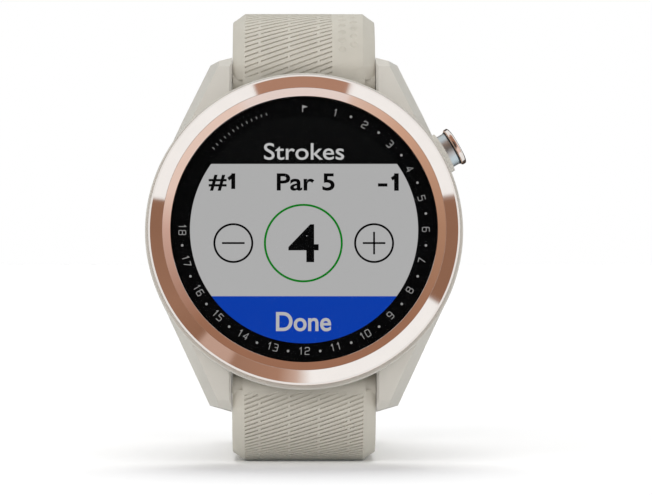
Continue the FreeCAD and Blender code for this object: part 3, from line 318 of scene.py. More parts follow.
class Recipe:
    """A material being mixed: a Principled shader and short ways to feed it."""

    def __init__(self, name, **sockets):
        self.material = bpy.data.materials.new(name)
        self.material.use_nodes = True
        self.tree = self.material.node_tree
        self.shader = self.tree.nodes["Principled BSDF"]
        self.place = self.add("ShaderNodeTexCoord").outputs["Object"]
        for socket, value in sockets.items():
            self.shader.inputs[socket.replace("_", " ")].default_value = value

    def add(self, kind, sources=(), **settings):
        """A node with its settings made and its inputs joined or set in order."""
        node = self.tree.nodes.new(kind)
        for key, value in settings.items():
            setattr(node, key, value)
        for place, source in dict(sources).items():
            self.feed(node.inputs[place], source)
        return node

    def feed(self, socket, source):
        """Join or set a socket of this material."""
        join(self.tree, socket, source)

    def stretched(self, stretch, turn=(0, 0, 0)):
        """The place, scaled by three factors, so that a texture runs along one way."""
        node = self.add("ShaderNodeMapping", {"Vector": self.place, "Scale": stretch, "Rotation": turn})
        return node.outputs[0]

    def noise(self, size, detail=2.0, vector=None):
        """A soft random field whose blotches are about size millimetres."""
        node = self.add("ShaderNodeTexNoise", {"Vector": vector or self.place,
                                               "Scale": 1 / (size * MM), "Detail": detail})
        return node.outputs["Fac"]

    def cells(self, size):
        """Distance to the nearest of scattered points about size millimetres apart."""
        node = self.add("ShaderNodeTexVoronoi", {"Vector": self.place, "Scale": 1 / (size * MM)},
                        feature="F1")
        return node.outputs["Distance"]

    def stripes(self, size, direction="X"):
        """Even stripes across one direction, size millimetres apart."""
        node = self.add("ShaderNodeTexWave", {"Vector": self.place, "Scale": WAVE_SCALE / (size * MM)},
                        bands_direction=direction)
        return node.outputs["Fac"]

    def rings(self, centre, axis, size):
        """Fine random rings about an axis, as a lathe leaves them."""
        shift = self.add("ShaderNodeVectorMath", {0: self.place, 1: centre}, operation="SUBTRACT").outputs[0]
        side = self.add("ShaderNodeVectorMath", {0: shift, 1: axis}, operation="CROSS_PRODUCT").outputs[0]
        reach = self.add("ShaderNodeVectorMath", {0: side}, operation="LENGTH").outputs["Value"]
        node = self.add("ShaderNodeTexNoise", {"W": reach, "Scale": 1 / (size * MM), "Detail": 3.0},
                        noise_dimensions="1D")
        return node.outputs["Fac"]

    def spread(self, field, low, high, start=0.3, end=0.7):
        """The field, brought from start...end to low...high."""
        node = self.add("ShaderNodeMapRange", {"Value": field, "From Min": start, "From Max": end,
                                               "To Min": low, "To Max": high})
        return node.outputs["Result"]

    def blend(self, field, first, second, start=0.3, end=0.7):
        """A colour that goes from first to second with the field."""
        share = self.spread(field, 0.0, 1.0, start, end)
        node = self.add("ShaderNodeMix", data_type="RGBA")
        self.feed(node.inputs[0], share)
        self.feed(node.inputs[6], (*first, 1.0) if len(first) == 3 else first)
        self.feed(node.inputs[7], (*second, 1.0) if len(second) == 3 else second)
        return node.outputs[2]

    def colour(self, source):
        """Feed the base colour."""
        self.feed(self.shader.inputs["Base Color"], source)
        return self

    def rough(self, source):
        """Feed the roughness."""
        self.feed(self.shader.inputs["Roughness"], source)
        return self

    def bump(self, field, depth):
        """Raise the surface with a field, depth metres from 0 to 1, on top of any earlier bump."""
        node = self.add("ShaderNodeBump", {"Height": field, "Distance": depth, "Strength": 1.0})
        normal = self.shader.inputs["Normal"]
        if normal.is_linked:
            self.tree.links.new(normal.links[0].from_socket, node.inputs["Normal"])
        self.tree.links.new(node.outputs[0], normal)
        return self


def shade(colour, factor):
    """A colour made lighter or darker."""
    return tuple(min(1.0, channel * factor) for channel in colour)


def grey(value):
    """A neutral colour."""
    return (value, value, value)


def moulded(name, colour, grain=0.22, depth=0.000012, roughness=0.5):
    """Moulded polymer: a fine mould grain, faint flow marks and uneven gloss."""
    mix = Recipe(name, Specular_IOR_Level=0.3)
    flow = mix.noise(7.0, 3.0)
    mix.colour(mix.blend(flow, shade(colour, 0.975), shade(colour, 1.02)))
    mix.rough(mix.spread(mix.noise(1.4, 4.0), roughness - 0.05, roughness + 0.06))
    return mix.bump(mix.noise(grain, 3.0), depth).material


def silicone(name, colour):
    """Strap silicone: soft, matt, dusted with fine grain and very slightly mottled."""
    mix = Recipe(name, Specular_IOR_Level=0.35)
    mottle = mix.noise(3.2, 4.0)
    mix.colour(mix.blend(mottle, shade(colour, 0.965), shade(colour, 1.025)))
    mix.rough(mix.spread(mix.noise(0.5, 3.0), 0.56, 0.70))
    mix.bump(mix.noise(0.16, 2.0), 0.000010)
    return mix.bump(mix.noise(2.4, 1.0), 0.00002).material


def rose_gold(name, colour, roughness, centre, axis):
    """Rose gold plating over a turned and polished part."""
    mix = Recipe(name, Metallic=1.0)
    mix.colour(mix.blend(mix.noise(2.6, 3.0), shade(colour, 0.985), shade(colour, 1.01)))
    mix.rough(mix.spread(mix.rings(centre, axis, 0.035), roughness * 0.8, roughness * 1.4))
    return mix.bump(mix.rings(centre, axis, 0.05), 0.0000006).material


def satin_gold(name, colour, stretch):
    """Rose gold brushed along one way."""
    mix = Recipe(name, Metallic=1.0)
    hairs = mix.noise(0.09, 3.0, mix.stretched(stretch))
    mix.colour(mix.blend(hairs, shade(colour, 0.93), shade(colour, 1.03)))
    mix.rough(mix.spread(hairs, 0.30, 0.40))
    return mix.bump(hairs, 0.0000003).material


def metal(name, colour, low=0.22, high=0.38, stretch=(1, 1, 1), size=0.12):
    """Bare metal with the marks of rolling or drawing."""
    mix = Recipe(name, Metallic=1.0)
    marks = mix.noise(size, 3.0, mix.stretched(stretch))
    mix.colour(mix.blend(marks, shade(colour, 0.9), shade(colour, 1.05)))
    mix.rough(mix.spread(marks, low, high))
    return mix.bump(marks, 0.000002).material


def clear_lens(name):
    """Glass so clear that only its edge and the faintest smear show."""
    mix = Recipe(name, Alpha=0.05, IOR=1.5)
    mix.colour(mix.blend(mix.noise(6.0), (0.010, 0.011, 0.012), (0.014, 0.014, 0.015)))
    mix.rough(mix.spread(mix.noise(2.5, 4.0), 0.02, 0.06))
    mix.material.surface_render_method = "BLENDED"
    return mix.material


def black_ink(name):
    """The border printed under the glass."""
    mix = Recipe(name, Specular_IOR_Level=0.0)
    mix.colour(mix.blend(mix.noise(0.5, 2.0), grey(0.0012), grey(0.0022)))
    return mix.rough(mix.spread(mix.noise(0.2), 0.6, 0.8)).material


def pale_ink(name, colour):
    """Numbers printed on the border: slightly uneven ink."""
    mix = Recipe(name, Specular_IOR_Level=0.0)
    mix.colour(mix.blend(mix.noise(0.25, 3.0), shade(colour, 0.88), shade(colour, 1.06)))
    return mix.rough(mix.spread(mix.noise(0.1), 0.7, 0.9)).material


def lit_display(name, colour):
    """Light from the display: a colour crossed by the faint grid between its dots."""
    mix = Recipe(name, Specular_IOR_Level=0.0, Emission_Strength=1.0)
    across = mix.stripes(DISPLAY_PITCH, "X")
    down = mix.stripes(DISPLAY_PITCH, "Z")
    grid = mix.add("ShaderNodeMath", {0: across, 1: down}, operation="MULTIPLY").outputs[0]
    glow = mix.blend(grid, shade(colour, 0.985), shade(colour, 1.01), 0.0, 0.6)
    mix.feed(mix.shader.inputs["Emission Color"], glow)
    mix.colour(mix.blend(grid, grey(0.001), grey(0.002)))
    return mix.rough(0.8).material


def circuit_board(name):
    """Green lacquer over copper tracks and pads."""
    mix = Recipe(name, Specular_IOR_Level=0.5)
    flat = mix.stretched((1, 1, 1), (math.radians(90), 0, 0))
    tracks = mix.add("ShaderNodeTexBrick", {"Vector": flat, "Scale": BOARD_SCALE,
                                            "Mortar Size": 0.035}).outputs["Fac"]
    mix.colour(mix.blend(tracks, (0.03, 0.16, 0.085), (0.012, 0.085, 0.046), 0.0, 1.0))
    mix.rough(mix.spread(tracks, 0.28, 0.42, 0.0, 1.0))
    return mix.bump(tracks, 0.00002).material


def striped(name, first, second, size, direction, roughness=0.4):
    """Bands of two colours, as in a ribbon of conductors or a row of contacts."""
    mix = Recipe(name)
    bands = mix.stripes(size, direction)
    mix.colour(mix.blend(bands, first, second, 0.45, 0.55))
    mix.rough(mix.spread(mix.noise(0.2), roughness - 0.06, roughness + 0.06))
    return mix.bump(bands, 0.00001).material


def speckled(name, first, second, size, roughness=0.5, metallic=0.0, depth=0.00001, lumps=False):
    """Two colours scattered in specks or cells, with the same specks in relief."""
    mix = Recipe(name, Metallic=metallic)
    field = mix.cells(size) if lumps else mix.noise(size, 4.0)
    mix.colour(mix.blend(field, first, second, 0.2, 0.8))
    mix.rough(mix.spread(field, roughness - 0.08, roughness + 0.08))
    return mix.bump(field, depth).material


def axis_through(near, far):
    """A point and a direction in the ground's frame, from two points of the watch frame."""
    near, far = in_watch([near, far])
    return tuple(near), tuple((far - near) / np.linalg.norm(far - near))


def button_axis():
    """A point on the button's axis and its direction."""
    out = (math.cos(BUTTON_BEARING), BUTTON_DEPTH, math.sin(BUTTON_BEARING))
    return axis_through((0, BUTTON_DEPTH, 0), out)


def dial_axis():
    """The centre of the dial and the direction in which it faces."""
    return axis_through((0, 0, 0), (0, -1, 0))


def mixed(slot):
    """The finish of one of the record's material slots, mixed once and then shared."""
    found = bpy.data.materials.get(f"finish_{slot}")
    return found or RECIPES[slot](f"finish_{slot}")


def case_settings():
    return bpy.context.scene.golf_watch_case


def bezel_settings():
    return bpy.context.scene.golf_watch_bezel


def band_settings():
    return bpy.context.scene.golf_watch_band


RECIPES = {
    "case_polymer": lambda n: moulded(n, case_settings().colour, depth=case_settings().grain),
    "cover_polymer": lambda n: moulded(n, shade(case_settings().colour, 0.9), 0.3, 0.00002, 0.55),
    "bezel_metal": lambda n: rose_gold(n, bezel_settings().colour, bezel_settings().roughness,
                                       *dial_axis()),
    "button_gold": lambda n: rose_gold(n, bezel_settings().colour, 0.16, *button_axis()),
    "buckle_gold": lambda n: satin_gold(n, bezel_settings().colour, (0.06, 1, 1)),
    "strap_silicone": lambda n: silicone(n, band_settings().colour),
    "lens_glass": clear_lens,
    "display": lambda n: speckled(n, grey(0.02), (0.03, 0.03, 0.034), 0.12, 0.25),
    "touch_film": lambda n: striped(n, (0.10, 0.11, 0.10), (0.12, 0.13, 0.125), 0.6, "X",
                                    roughness=0.25),
    "light_guide": lambda n: speckled(n, grey(0.75), grey(0.9), 0.4, 0.35, 0.0, 0.00002, True),
    "carrier_metal": lambda n: metal(n, (0.62, 0.61, 0.59), stretch=(0.1, 1, 1)),
    "flex_film": lambda n: striped(n, (0.35, 0.13, 0.03), (0.55, 0.25, 0.06), 0.35, "X",
                                   roughness=0.35),
    "circuit_board": circuit_board,
    "chip": lambda n: speckled(n, grey(0.012), grey(0.03), 0.08, 0.55),
    "shield_can": lambda n: metal(n, (0.70, 0.69, 0.66), 0.25, 0.4, (1, 1, 0.15)),
    "connector": lambda n: striped(n, (0.62, 0.55, 0.42), (0.72, 0.66, 0.53), 0.3, "X",
                                   roughness=0.45),
    "ceramic_cap": lambda n: speckled(n, (0.30, 0.20, 0.12), (0.45, 0.33, 0.22), 0.15, 0.5),
    "contact_gold": lambda n: metal(n, (0.95, 0.72, 0.33), 0.18, 0.3),
    "battery_foil": lambda n: speckled(n, grey(0.48), grey(0.62), 1.3, 0.36, 0.9, 0.00008),
    "foam": lambda n: speckled(n, grey(0.02), grey(0.06), 0.25, 0.9, 0.0, 0.00008, True),
    "seal": lambda n: speckled(n, (0.012, 0.014, 0.018), (0.03, 0.032, 0.036), 0.2, 0.6),
    "steel": lambda n: metal(n, (0.66, 0.60, 0.56), 0.40, 0.52, (1, 0.12, 1)),
    "spring_steel": lambda n: metal(n, (0.52, 0.51, 0.49), 0.25, 0.4, (0.2, 1, 1), 0.05),
    "contact_holder": lambda n: moulded(n, grey(0.022), 0.2, 0.00001, 0.42),
    "button_ring_rubber": lambda n: speckled(n, grey(0.006), grey(0.014), 0.15, 0.55),
}


def dress(*names):
    """Give CAD nodes the finish of their own slots."""
    for name in names:
        NODES[name].data.materials.clear()
        NODES[name].data.materials.append(mixed(SLOT_OF_NODE[name]))


# --- meshes --------------------------------------------------------------------

def retire(name):
    """Remove the piece that an earlier run of an operator made."""
    old = bpy.data.objects.get(name)
    if old:
        bpy.data.objects.remove(old)


def add_object(name, mesh, finish):
    """Link a mesh into the scene under a name, with its finish."""
    retire(name)
    mesh.materials.append(finish)
    piece = bpy.data.objects.new(name, mesh)
    bpy.context.scene.collection.objects.link(piece)
    return piece


def soften(mesh, angle=32):
    """Smooth the mesh except across edges sharper than angle degrees."""
    mesh.shade_smooth()
    mesh.set_sharp_from_angle(angle=math.radians(angle))


def mesh_from(name, points, faces, weld=1e-7):
    """A mesh of points and faces, with doubled points merged and faces turned outwards."""
    mesh = bpy.data.meshes.new(name)
    mesh.from_pydata([tuple(p) for p in points], [], faces)
    shape = bmesh.new()
    shape.from_mesh(mesh)
    bmesh.ops.remove_doubles(shape, verts=shape.verts, dist=weld)
    bmesh.ops.dissolve_degenerate(shape, edges=shape.edges, dist=weld)
    bmesh.ops.recalc_face_normals(shape, faces=shape.faces)
    shape.to_mesh(mesh)
    shape.free()
    return mesh


def set_up(piece, body, slot, *replaced):
    """Attach a finished piece to the body it moves with and hide the nodes it stands for; slot is not used.
    """
    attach(piece, body)
    if replaced:
        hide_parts(*replaced)
    return piece


def rounded(corners, radius, steps=4):
    """A closed outline with every corner eased by a small arc."""
    outline = []
    total = len(corners)
    for i in range(total):
        here = Vector(corners[i])
        back = Vector(corners[i - 1]) - here
        ahead = Vector(corners[(i + 1) % total]) - here
        half = back.angle(ahead) / 2
        ease = min(radius / math.tan(half), back.length * 0.45, ahead.length * 0.45)
        start, end = here + back.normalized() * ease, here + ahead.normalized() * ease
        for k in range(steps + 1):
            t = k / steps
            outline.append(start * (1 - t) ** 2 + here * 2 * t * (1 - t) + end * t ** 2)
    return outline


def turned(outline, count):
    """Points (radius-wise x, along, radius-wise y) and faces of an outline turned right round."""
    rim = np.array([(p[0], p[1]) for p in outline])
    angles = np.linspace(0, 2 * math.pi, count, endpoint=False)
    points = np.stack([np.outer(np.cos(angles), rim[:, 0]), np.tile(rim[:, 1], (count, 1)),
                       np.outer(np.sin(angles), rim[:, 0])], 2).reshape(-1, 3)
    size = len(rim)
    faces = []
    for a in range(count):
        b = (a + 1) % count
        for i in range(size):
            j = (i + 1) % size
            faces.append((a * size + i, a * size + j, b * size + j, b * size + i))
    return points, faces


def boolean(piece, cutter, operation):
    """Join or cut one closed mesh with another and throw the tool away."""
    step = piece.modifiers.new("Shape", "BOOLEAN")
    step.solver = "MANIFOLD"
    step.operation = operation
    step.object = cutter
    shown = bpy.context.evaluated_depsgraph_get()
    mesh = bpy.data.meshes.new_from_object(piece.evaluated_get(shown))
    piece.modifiers.remove(step)
    before = len(piece.data.polygons)
    piece.data = mesh
    bpy.data.objects.remove(cutter)
    if not len(mesh.polygons) or (operation == "UNION" and len(mesh.polygons) < before * 0.5):
        raise RuntimeError(f"{piece.name}: the {operation.lower()} left too little")


def rod_tool(radius, foot, head, sides=40):
    """A round bar from foot to head, in metres, to join or cut with."""
    foot, head = Vector(foot), Vector(head)
    shape = bmesh.new()
    turn = (head - foot).to_track_quat("Z", "Y").to_matrix().to_4x4()
    bmesh.ops.create_cone(shape, cap_ends=True, segments=sides, radius1=radius, radius2=radius,
                          depth=(head - foot).length, matrix=Matrix.Translation((foot + head) / 2) @ turn)
    return tool_object(shape)


def box_tool(place, size):
    """A box centred on a placement, to cut with."""
    shape = bmesh.new()
    bmesh.ops.create_cube(shape, size=1.0, matrix=place @ Matrix.Diagonal((*size, 1.0)))
    return tool_object(shape)


def tool_object(shape):
    """A temporary object from a bmesh."""
    mesh = bpy.data.meshes.new("tool")
    bmesh.ops.recalc_face_normals(shape, faces=shape.faces)
    shape.to_mesh(mesh)
    shape.free()
    tool = bpy.data.objects.new("tool", mesh)
    bpy.context.scene.collection.objects.link(tool)
    return tool


# --- flat artwork on the dial --------------------------------------------------

class Artwork:
    """Flat faces in the dial's plane (across, up), gathered and made into one thin plate."""

    def __init__(self):
        self.points = []
        self.faces = []

    def polygon(self, outline):
        """A filled outline."""
        start = len(self.points)
        self.points += [tuple(p) for p in outline]
        self.faces.append(tuple(range(start, len(self.points))))

    def ring(self, centre, outer, inner, sides=96):
        """A flat ring."""
        start = len(self.points)
        for k in range(sides):
            a = 2 * math.pi * k / sides
            way = Vector((math.cos(a), math.sin(a)))
            self.points += [tuple(Vector(centre) + way * outer), tuple(Vector(centre) + way * inner)]
        for k in range(sides):
            a, b = start + 2 * k, start + 2 * ((k + 1) % sides)
            self.faces.append((a, b, b + 1, a + 1))

    def disc(self, centre, radius, sides=20):
        """A filled circle."""
        turns = [2 * math.pi * k / sides for k in range(sides)]
        self.polygon([(centre[0] + radius * math.cos(a), centre[1] + radius * math.sin(a)) for a in turns])

    def stroke(self, line, width):
        """A line of even width with mitred corners."""
        line = [Vector(p) for p in line]
        sides = []
        for i, here in enumerate(line):
            ways = [(line[j + 1] - line[j]).normalized() for j in (i - 1, i) if 0 <= j < len(line) - 1]
            mean = sum(ways, Vector((0, 0))).normalized()
            across = Vector((-mean.y, mean.x))
            stretch = 1 / max(0.4, mean.dot(ways[0]))
            sides.append((here + across * width / 2 * stretch, here - across * width / 2 * stretch))
        for (a, b), (c, d) in zip(sides, sides[1:]):
            self.polygon([a, b, d, c])

    def plate(self, name, depth, finish, thick=0.02):
        """The thin plate at a depth behind the bezel's front, facing the wearer."""
        points = in_watch([(x, depth, v) for x, v in self.points]
                          + [(x, depth + thick, v) for x, v in self.points])
        front = self.facing_wearer()
        behind = len(self.points)
        ways = {(a, b) for face in front for a, b in zip(face, face[1:] + face[:1])}
        walls = [(b, a, a + behind, b + behind) for a, b in sorted(ways) if (b, a) not in ways]
        back = [tuple(i + behind for i in reversed(face)) for face in front]
        mesh = bpy.data.meshes.new(name)
        mesh.from_pydata([tuple(p) for p in points], [], front + walls + back)
        return set_up(add_object(name, mesh, finish), "watch", "display")

    def facing_wearer(self):
        """The faces, each listed anticlockwise as the wearer sees it."""
        areas = []
        for face in self.faces:
            x, v = np.array([self.points[i] for i in face]).T
            areas.append(float(np.dot(x, np.roll(v, -1)) - np.dot(v, np.roll(x, -1))) / 2)
        usual = 1 if sum(areas) >= 0 else -1
        signs = [usual if abs(area) < 1e-5 else math.copysign(1, area) for area in areas]
        return [tuple(face) if sign > 0 else tuple(reversed(face)) for face, sign in zip(self.faces, signs)]


def lettering(words, left, right, bottom, top, weight=0.0):
    """An artwork of words in the plain built-in face, fitted to a box on the dial."""
    curve = bpy.data.curves.new("words", "FONT")
    curve.body = words
    curve.offset = weight
    curve.resolution_u = 6
    holder = bpy.data.objects.new("words", curve)
    bpy.context.scene.collection.objects.link(holder)
    shown = bpy.context.evaluated_depsgraph_get()
    mesh = bpy.data.meshes.new_from_object(holder.evaluated_get(shown))
    co = np.array([v.co for v in mesh.vertices])[:, :2]
    low, high = co.min(0), co.max(0)
    fitted = (co - low) / (high - low) * ((right - left), (top - bottom)) + (left, bottom)
    art = Artwork()
    art.points = [tuple(p) for p in fitted]
    art.faces = [tuple(face.vertices) for face in mesh.polygons]
    bpy.data.objects.remove(holder)
    bpy.data.meshes.remove(mesh)
    return art


# Each digit is drawn as lines on a grid one unit wide and one unit high.
DIGITS = {
    "0": [[(0, 0.15), (0, 0.85), (0.15, 1), (0.85, 1), (1, 0.85), (1, 0.15), (0.85, 0), (0.15, 0),
           (0, 0.15)]],
    "1": [[(0.2, 0.78), (0.55, 1), (0.55, 0)]],
    "2": [[(0, 0.8), (0.15, 1), (0.85, 1), (1, 0.85), (1, 0.65), (0.85, 0.52), (0.15, 0.45), (0, 0.3), (0, 0),
           (1, 0)]],
    "3": [[(0, 1), (0.85, 1), (1, 0.85), (1, 0.15), (0.85, 0), (0, 0)], [(0.3, 0.52), (1, 0.52)]],
    "4": [[(0.75, 0), (0.75, 1), (0, 0.32), (1, 0.32)]],
    "5": [[(1, 1), (0, 1), (0, 0.56), (0.85, 0.56), (1, 0.42), (1, 0.15), (0.85, 0), (0, 0)]],
    "6": [[(1, 1), (0.15, 1), (0, 0.85), (0, 0.15), (0.15, 0), (0.85, 0), (1, 0.15), (1, 0.42), (0.85, 0.56),
           (0, 0.56)]],
    "7": [[(0, 1), (1, 1), (0.42, 0)]],
    "8": [[(0.15, 0.52), (0, 0.66), (0, 0.86), (0.15, 1), (0.85, 1), (1, 0.86), (1, 0.66), (0.85, 0.52),
           (0.15, 0.52), (0, 0.38), (0, 0.14), (0.15, 0), (0.85, 0), (1, 0.14), (1, 0.38), (0.85, 0.52)]],
    "9": [[(0, 0), (0.85, 0), (1, 0.15), (1, 0.85), (0.85, 1), (0.15, 1), (0, 0.85), (0, 0.58), (0.15, 0.44),
           (1, 0.44)]],
}


def add_number(art, number, angle, radius, height, inward):
    """Draw a number centred on a circle, its top away from or toward the centre."""
    out = Vector((math.cos(angle), math.sin(angle)))
    up = -out if inward else out
    right = Vector((up.y, -up.x))
    width, gap = height * 0.62, height * 0.28
    text = str(number)
    total = len(text) * width + (len(text) - 1) * gap
    for i, digit in enumerate(text):
        corner = out * radius - up * height / 2 + right * (i * (width + gap) - total / 2)
        for line in DIGITS[digit]:
            art.stroke([corner + right * x * width + up * y * height for x, y in line], height * 0.1)


def add_flag(art, radius, height):
    """A small flag on its pole, beside the hole."""
    base = radius - height / 2
    art.stroke([(-0.2, base), (-0.2, base + height)], 0.1)
    art.polygon([(-0.15, base + height), (0.5, base + height * 0.78), (-0.15, base + height * 0.56)])


# --- straps --------------------------------------------------------------------

class StrapCourse:
    """The side view of one strap, walked along its outer face from the spring bar."""

    def __init__(self, side, sweep):
        self.side = side
        self.shoulder = np.array(UPPER_SHOULDER if side > 0 else LOWER_SHOULDER)
        self.bar = np.array(UPPER_BAR if side > 0 else LOWER_BAR)
        self.hub = np.array((REAR_DEPTH, REAR_HEIGHT))
        start = self.around(self.shoulder, SHOULDER_RADIUS, math.pi / 2 - SHOULDER_START)
        self.neck_foot = self.bar - (KNUCKLE_RADIUS, 0)
        self.neck = float(np.linalg.norm(start - self.neck_foot))
        self.arc = (math.pi / 2 - SHOULDER_START) * SHOULDER_RADIUS
        self.run = REAR_DEPTH - self.shoulder[0]
        self.length = self.neck + self.arc + self.run + sweep * REAR_RADIUS

    def around(self, centre, radius, turn):
        """A point on an arc; turn is 0 at the strap's level run and grows toward the dial."""
        return np.array((centre[0] - radius * math.sin(turn),
                         centre[1] + self.side * radius * math.cos(turn)))

    def faces_at(self, along):
        """The outer and inner points at a distance along the outer face."""
        inner = SHOULDER_RADIUS - STRAP_THICK
        if along < self.neck:
            t = along / self.neck
            first = self.around(self.shoulder, SHOULDER_RADIUS, math.pi / 2 - SHOULDER_START)
            second = self.around(self.shoulder, inner, math.pi / 2 - SHOULDER_START)
            return self.neck_foot * (1 - t) + first * t, self.bar * (1 - t) + second * t
        along -= self.neck
        if along < self.arc:
            turn = (self.arc - along) / SHOULDER_RADIUS
            return (self.around(self.shoulder, SHOULDER_RADIUS, turn),
                    self.around(self.shoulder, inner, turn))
        along -= self.arc
        if along < self.run:
            step = np.array((along, 0))
            return (self.around(self.shoulder, SHOULDER_RADIUS, 0) + step,
                    self.around(self.shoulder, inner, 0) + step)
        turn = -(along - self.run) / REAR_RADIUS
        return (self.around(self.hub, REAR_RADIUS, turn),
                self.around(self.hub, REAR_RADIUS - STRAP_THICK, turn))


class Ribs:
    """The slanted grooves of one strap: where they run, where they break and where they stop."""

    def __init__(self, course, settings, pitch, phase, limits, lane_from):
        self.width, self.depth = settings.groove_width / MM, settings.groove_depth / MM
        self.lean = math.tan(settings.slope) * course.side
        self.pitch, self.phase = pitch, phase
        self.limits = limits
        self.lane_from = lane_from
        self.end = course.length - RIB_MARGIN
        self.has_lane = lane_from < course.length

    def columns(self):
        """Where the mesh needs lines along the strap: beside each groove's end, and evenly between."""
        edges = list(self.limits)
        if self.has_lane:
            edges += [-LANE_HALF, LANE_HALF]
        for place in ODD_BREAKS + EVEN_BREAKS:
            if self.limits[0] < place < self.limits[1]:
                edges += [place - BRIDGE_HALF, place + BRIDGE_HALF]
        wanted = set()
        for edge in edges:
            wanted |= {round(edge - GROOVE_WALL, 3), round(edge + GROOVE_WALL, 3)}
        for x in np.linspace(-FLAT_HALF, FLAT_HALF, COLUMN_COUNT):
            if all(abs(x - other) > COLUMN_GAP for other in wanted) or abs(x) > FLAT_HALF - 0.06:
                wanted.add(round(float(x), 3))
        return sorted(wanted)

    def lines(self, length):
        """The mesh lines across a strap: groove number, place, share of the depth and of the crown."""
        half = self.width / 2
        profile = [(-half, 0.0, 0.0), (-half + GROOVE_WALL, -1.0, 0.0), (half - GROOVE_WALL, -1.0, 0.0),
                   (half, 0.0, 0.0), ((self.pitch - self.width) / 2 + half, 0.0, 1.0)]
        reach = HALF_STRAP * abs(self.lean)
        first = int(math.floor((-reach - self.phase) / self.pitch)) - 1
        last = int(math.ceil((length + reach - self.phase) / self.pitch)) + 1
        return [(k, self.phase + k * self.pitch + offset, drop, crown)
                for k in range(first, last) for offset, drop, crown in profile]

    def heights(self, number, drop, crown, across, along, outside):
        """How far each point of one line stands above the outer face."""
        grooved = outside & (across > self.limits[0]) & (across < self.limits[1])
        grooved &= (along > GROOVE_START) & (along < self.end)
        if self.has_lane:
            grooved &= ~((np.abs(across) < LANE_HALF) & (along > self.lane_from))
        bridge = np.zeros(len(across), bool)
        for place in ODD_BREAKS if number % 2 else EVEN_BREAKS:
            bridge |= np.abs(across - place) < BRIDGE_HALF
        groove = np.where(grooved & ~bridge, drop * self.depth, 0.0)
        return groove + np.where(grooved, crown * RIB_CROWN, 0.0)


def cross_section(columns):
    """The strap's outline (across, depth) from the outer face round the edges to the inner one."""
    edge = EDGE_BEVEL + EDGE_UNDER
    ring = [(x, 0.0) for x in columns] + edge
    ring += [(x, STRAP_THICK) for x in reversed(columns)]
    return ring + [(-x, t) for x, t in reversed(EDGE_UNDER)] + [(-x, t) for x, t in reversed(EDGE_BEVEL)]


def strap_end(length, across, tip):
    """Where the strap ends at each place across it: straight, or rounded by a tip radius."""
    if not tip:
        return np.full(len(across), length)
    past = np.clip(np.abs(across) - (HALF_STRAP - tip), 0, tip)
    return length - (tip - np.sqrt(tip * tip - past * past))


def strap_mesh(name, course, ribs, tip):
    """The strap's closed mesh: real slanted grooves outside, bevelled long edges, plain inside."""
    columns = ribs.columns()
    ring = cross_section(columns)
    across, sunk = np.array(ring).T
    limit = strap_end(course.length, across, tip)
    points = []
    lines = ribs.lines(course.length)
    for number, base, drop, crown in lines:
        along = np.clip(base + across * ribs.lean, 0.0, limit)
        height = ribs.heights(number, drop, crown, across, along, sunk == 0)
        for x, t, u, h in zip(across, sunk, along, height):
            outer, inner = course.faces_at(u)
            gap = np.linalg.norm(inner - outer)
            way = (inner - outer) / max(gap, 1e-9)
            spot = outer + way * (t * (gap / STRAP_THICK) - h)
            points.append((x, spot[0], spot[1]))
    size, count = len(ring), len(lines)
    faces = []
    for r in range(count - 1):
        for i in range(size):
            j = (i + 1) % size
            faces.append((r * size + i, r * size + j, (r + 1) * size + j, (r + 1) * size + i))
    side = len(EDGE_BEVEL) + len(EDGE_UNDER)
    faces += end_caps(len(columns), side, size, (count - 1) * size)
    return mesh_from(name, in_loop(points), faces, STRAP_WELD)


def end_caps(flat, side, size, last):
    """Quads that close the first and last cross-section, from the outer to the inner face."""
    outer = list(range(flat))
    inner = [flat + side + (flat - 1 - i) for i in range(flat)]
    caps = []
    for base in (0, last):
        for i in range(flat - 1):
            caps.append((base + outer[i], base + outer[i + 1], base + inner[i + 1], base + inner[i]))
        caps.append(tuple(base + i for i in range(flat - 1, flat + side + 1)))
        caps.append(tuple(base + i for i in range(flat + side + flat - 1, size)) + (base,))
    return caps


def strap_holes(course):
    """Feet and heads of the rods that punch the adjustment holes."""
    rods = []
    middle = SHOULDER_RADIUS - STRAP_THICK / 2
    rear_middle = REAR_RADIUS - STRAP_THICK / 2
    arc = (math.pi / 2 - SHOULDER_START) * middle
    for i in range(HOLE_COUNT):
        along = HOLE_START + HOLE_PITCH * i
        if along < arc + course.run:
            foot = course.around(course.shoulder, SHOULDER_RADIUS, 0) + (along - arc, 0)
            way = np.array((0.0, course.side))
        else:
            turn = (along - arc - course.run) / rear_middle
            foot = course.around(course.hub, REAR_RADIUS, -turn)
            way = (foot - course.hub) / REAR_RADIUS
        ends = in_loop([(0, *(foot + way)), (0, *(foot - way * 5))])
        rods.append((ends[0], ends[1]))
    return rods


def cross_rod(strap, centre, radius, half, operation, sides):
    """Join to or cut from a strap a rod that lies across it, centred on its side view."""
    foot, head = in_loop([(-half, *centre), (half, *centre)])
    boolean(strap, rod_tool(radius * MM, foot, head, sides), operation)


def add_knuckle(strap, course):
    """The round end that holds the spring bar, with its bore and lever window."""
    back = course.bar + (COLLAR_SHIFT[0], COLLAR_SHIFT[1] * course.side)
    cross_rod(strap, course.bar, KNUCKLE_RADIUS, KNUCKLE_HALF, "UNION", 72)
    cross_rod(strap, back, COLLAR_RADIUS, HALF_STRAP, "UNION", 72)
    cross_rod(strap, course.bar, KNUCKLE_HOLE, BORE_REACH, "DIFFERENCE", 32)
    middle = Vector(in_loop([(LEVER_ACROSS, *course.bar)])[0])
    turn = Matrix.Rotation(-LEAN, 4, "X")
    place = Matrix.Translation(middle) @ turn @ Matrix.Translation((0, LEVER_WINDOW[1] / 2 * MM, 0))
    boolean(strap, box_tool(place, [side * MM for side in LEVER_WINDOW]), "DIFFERENCE")


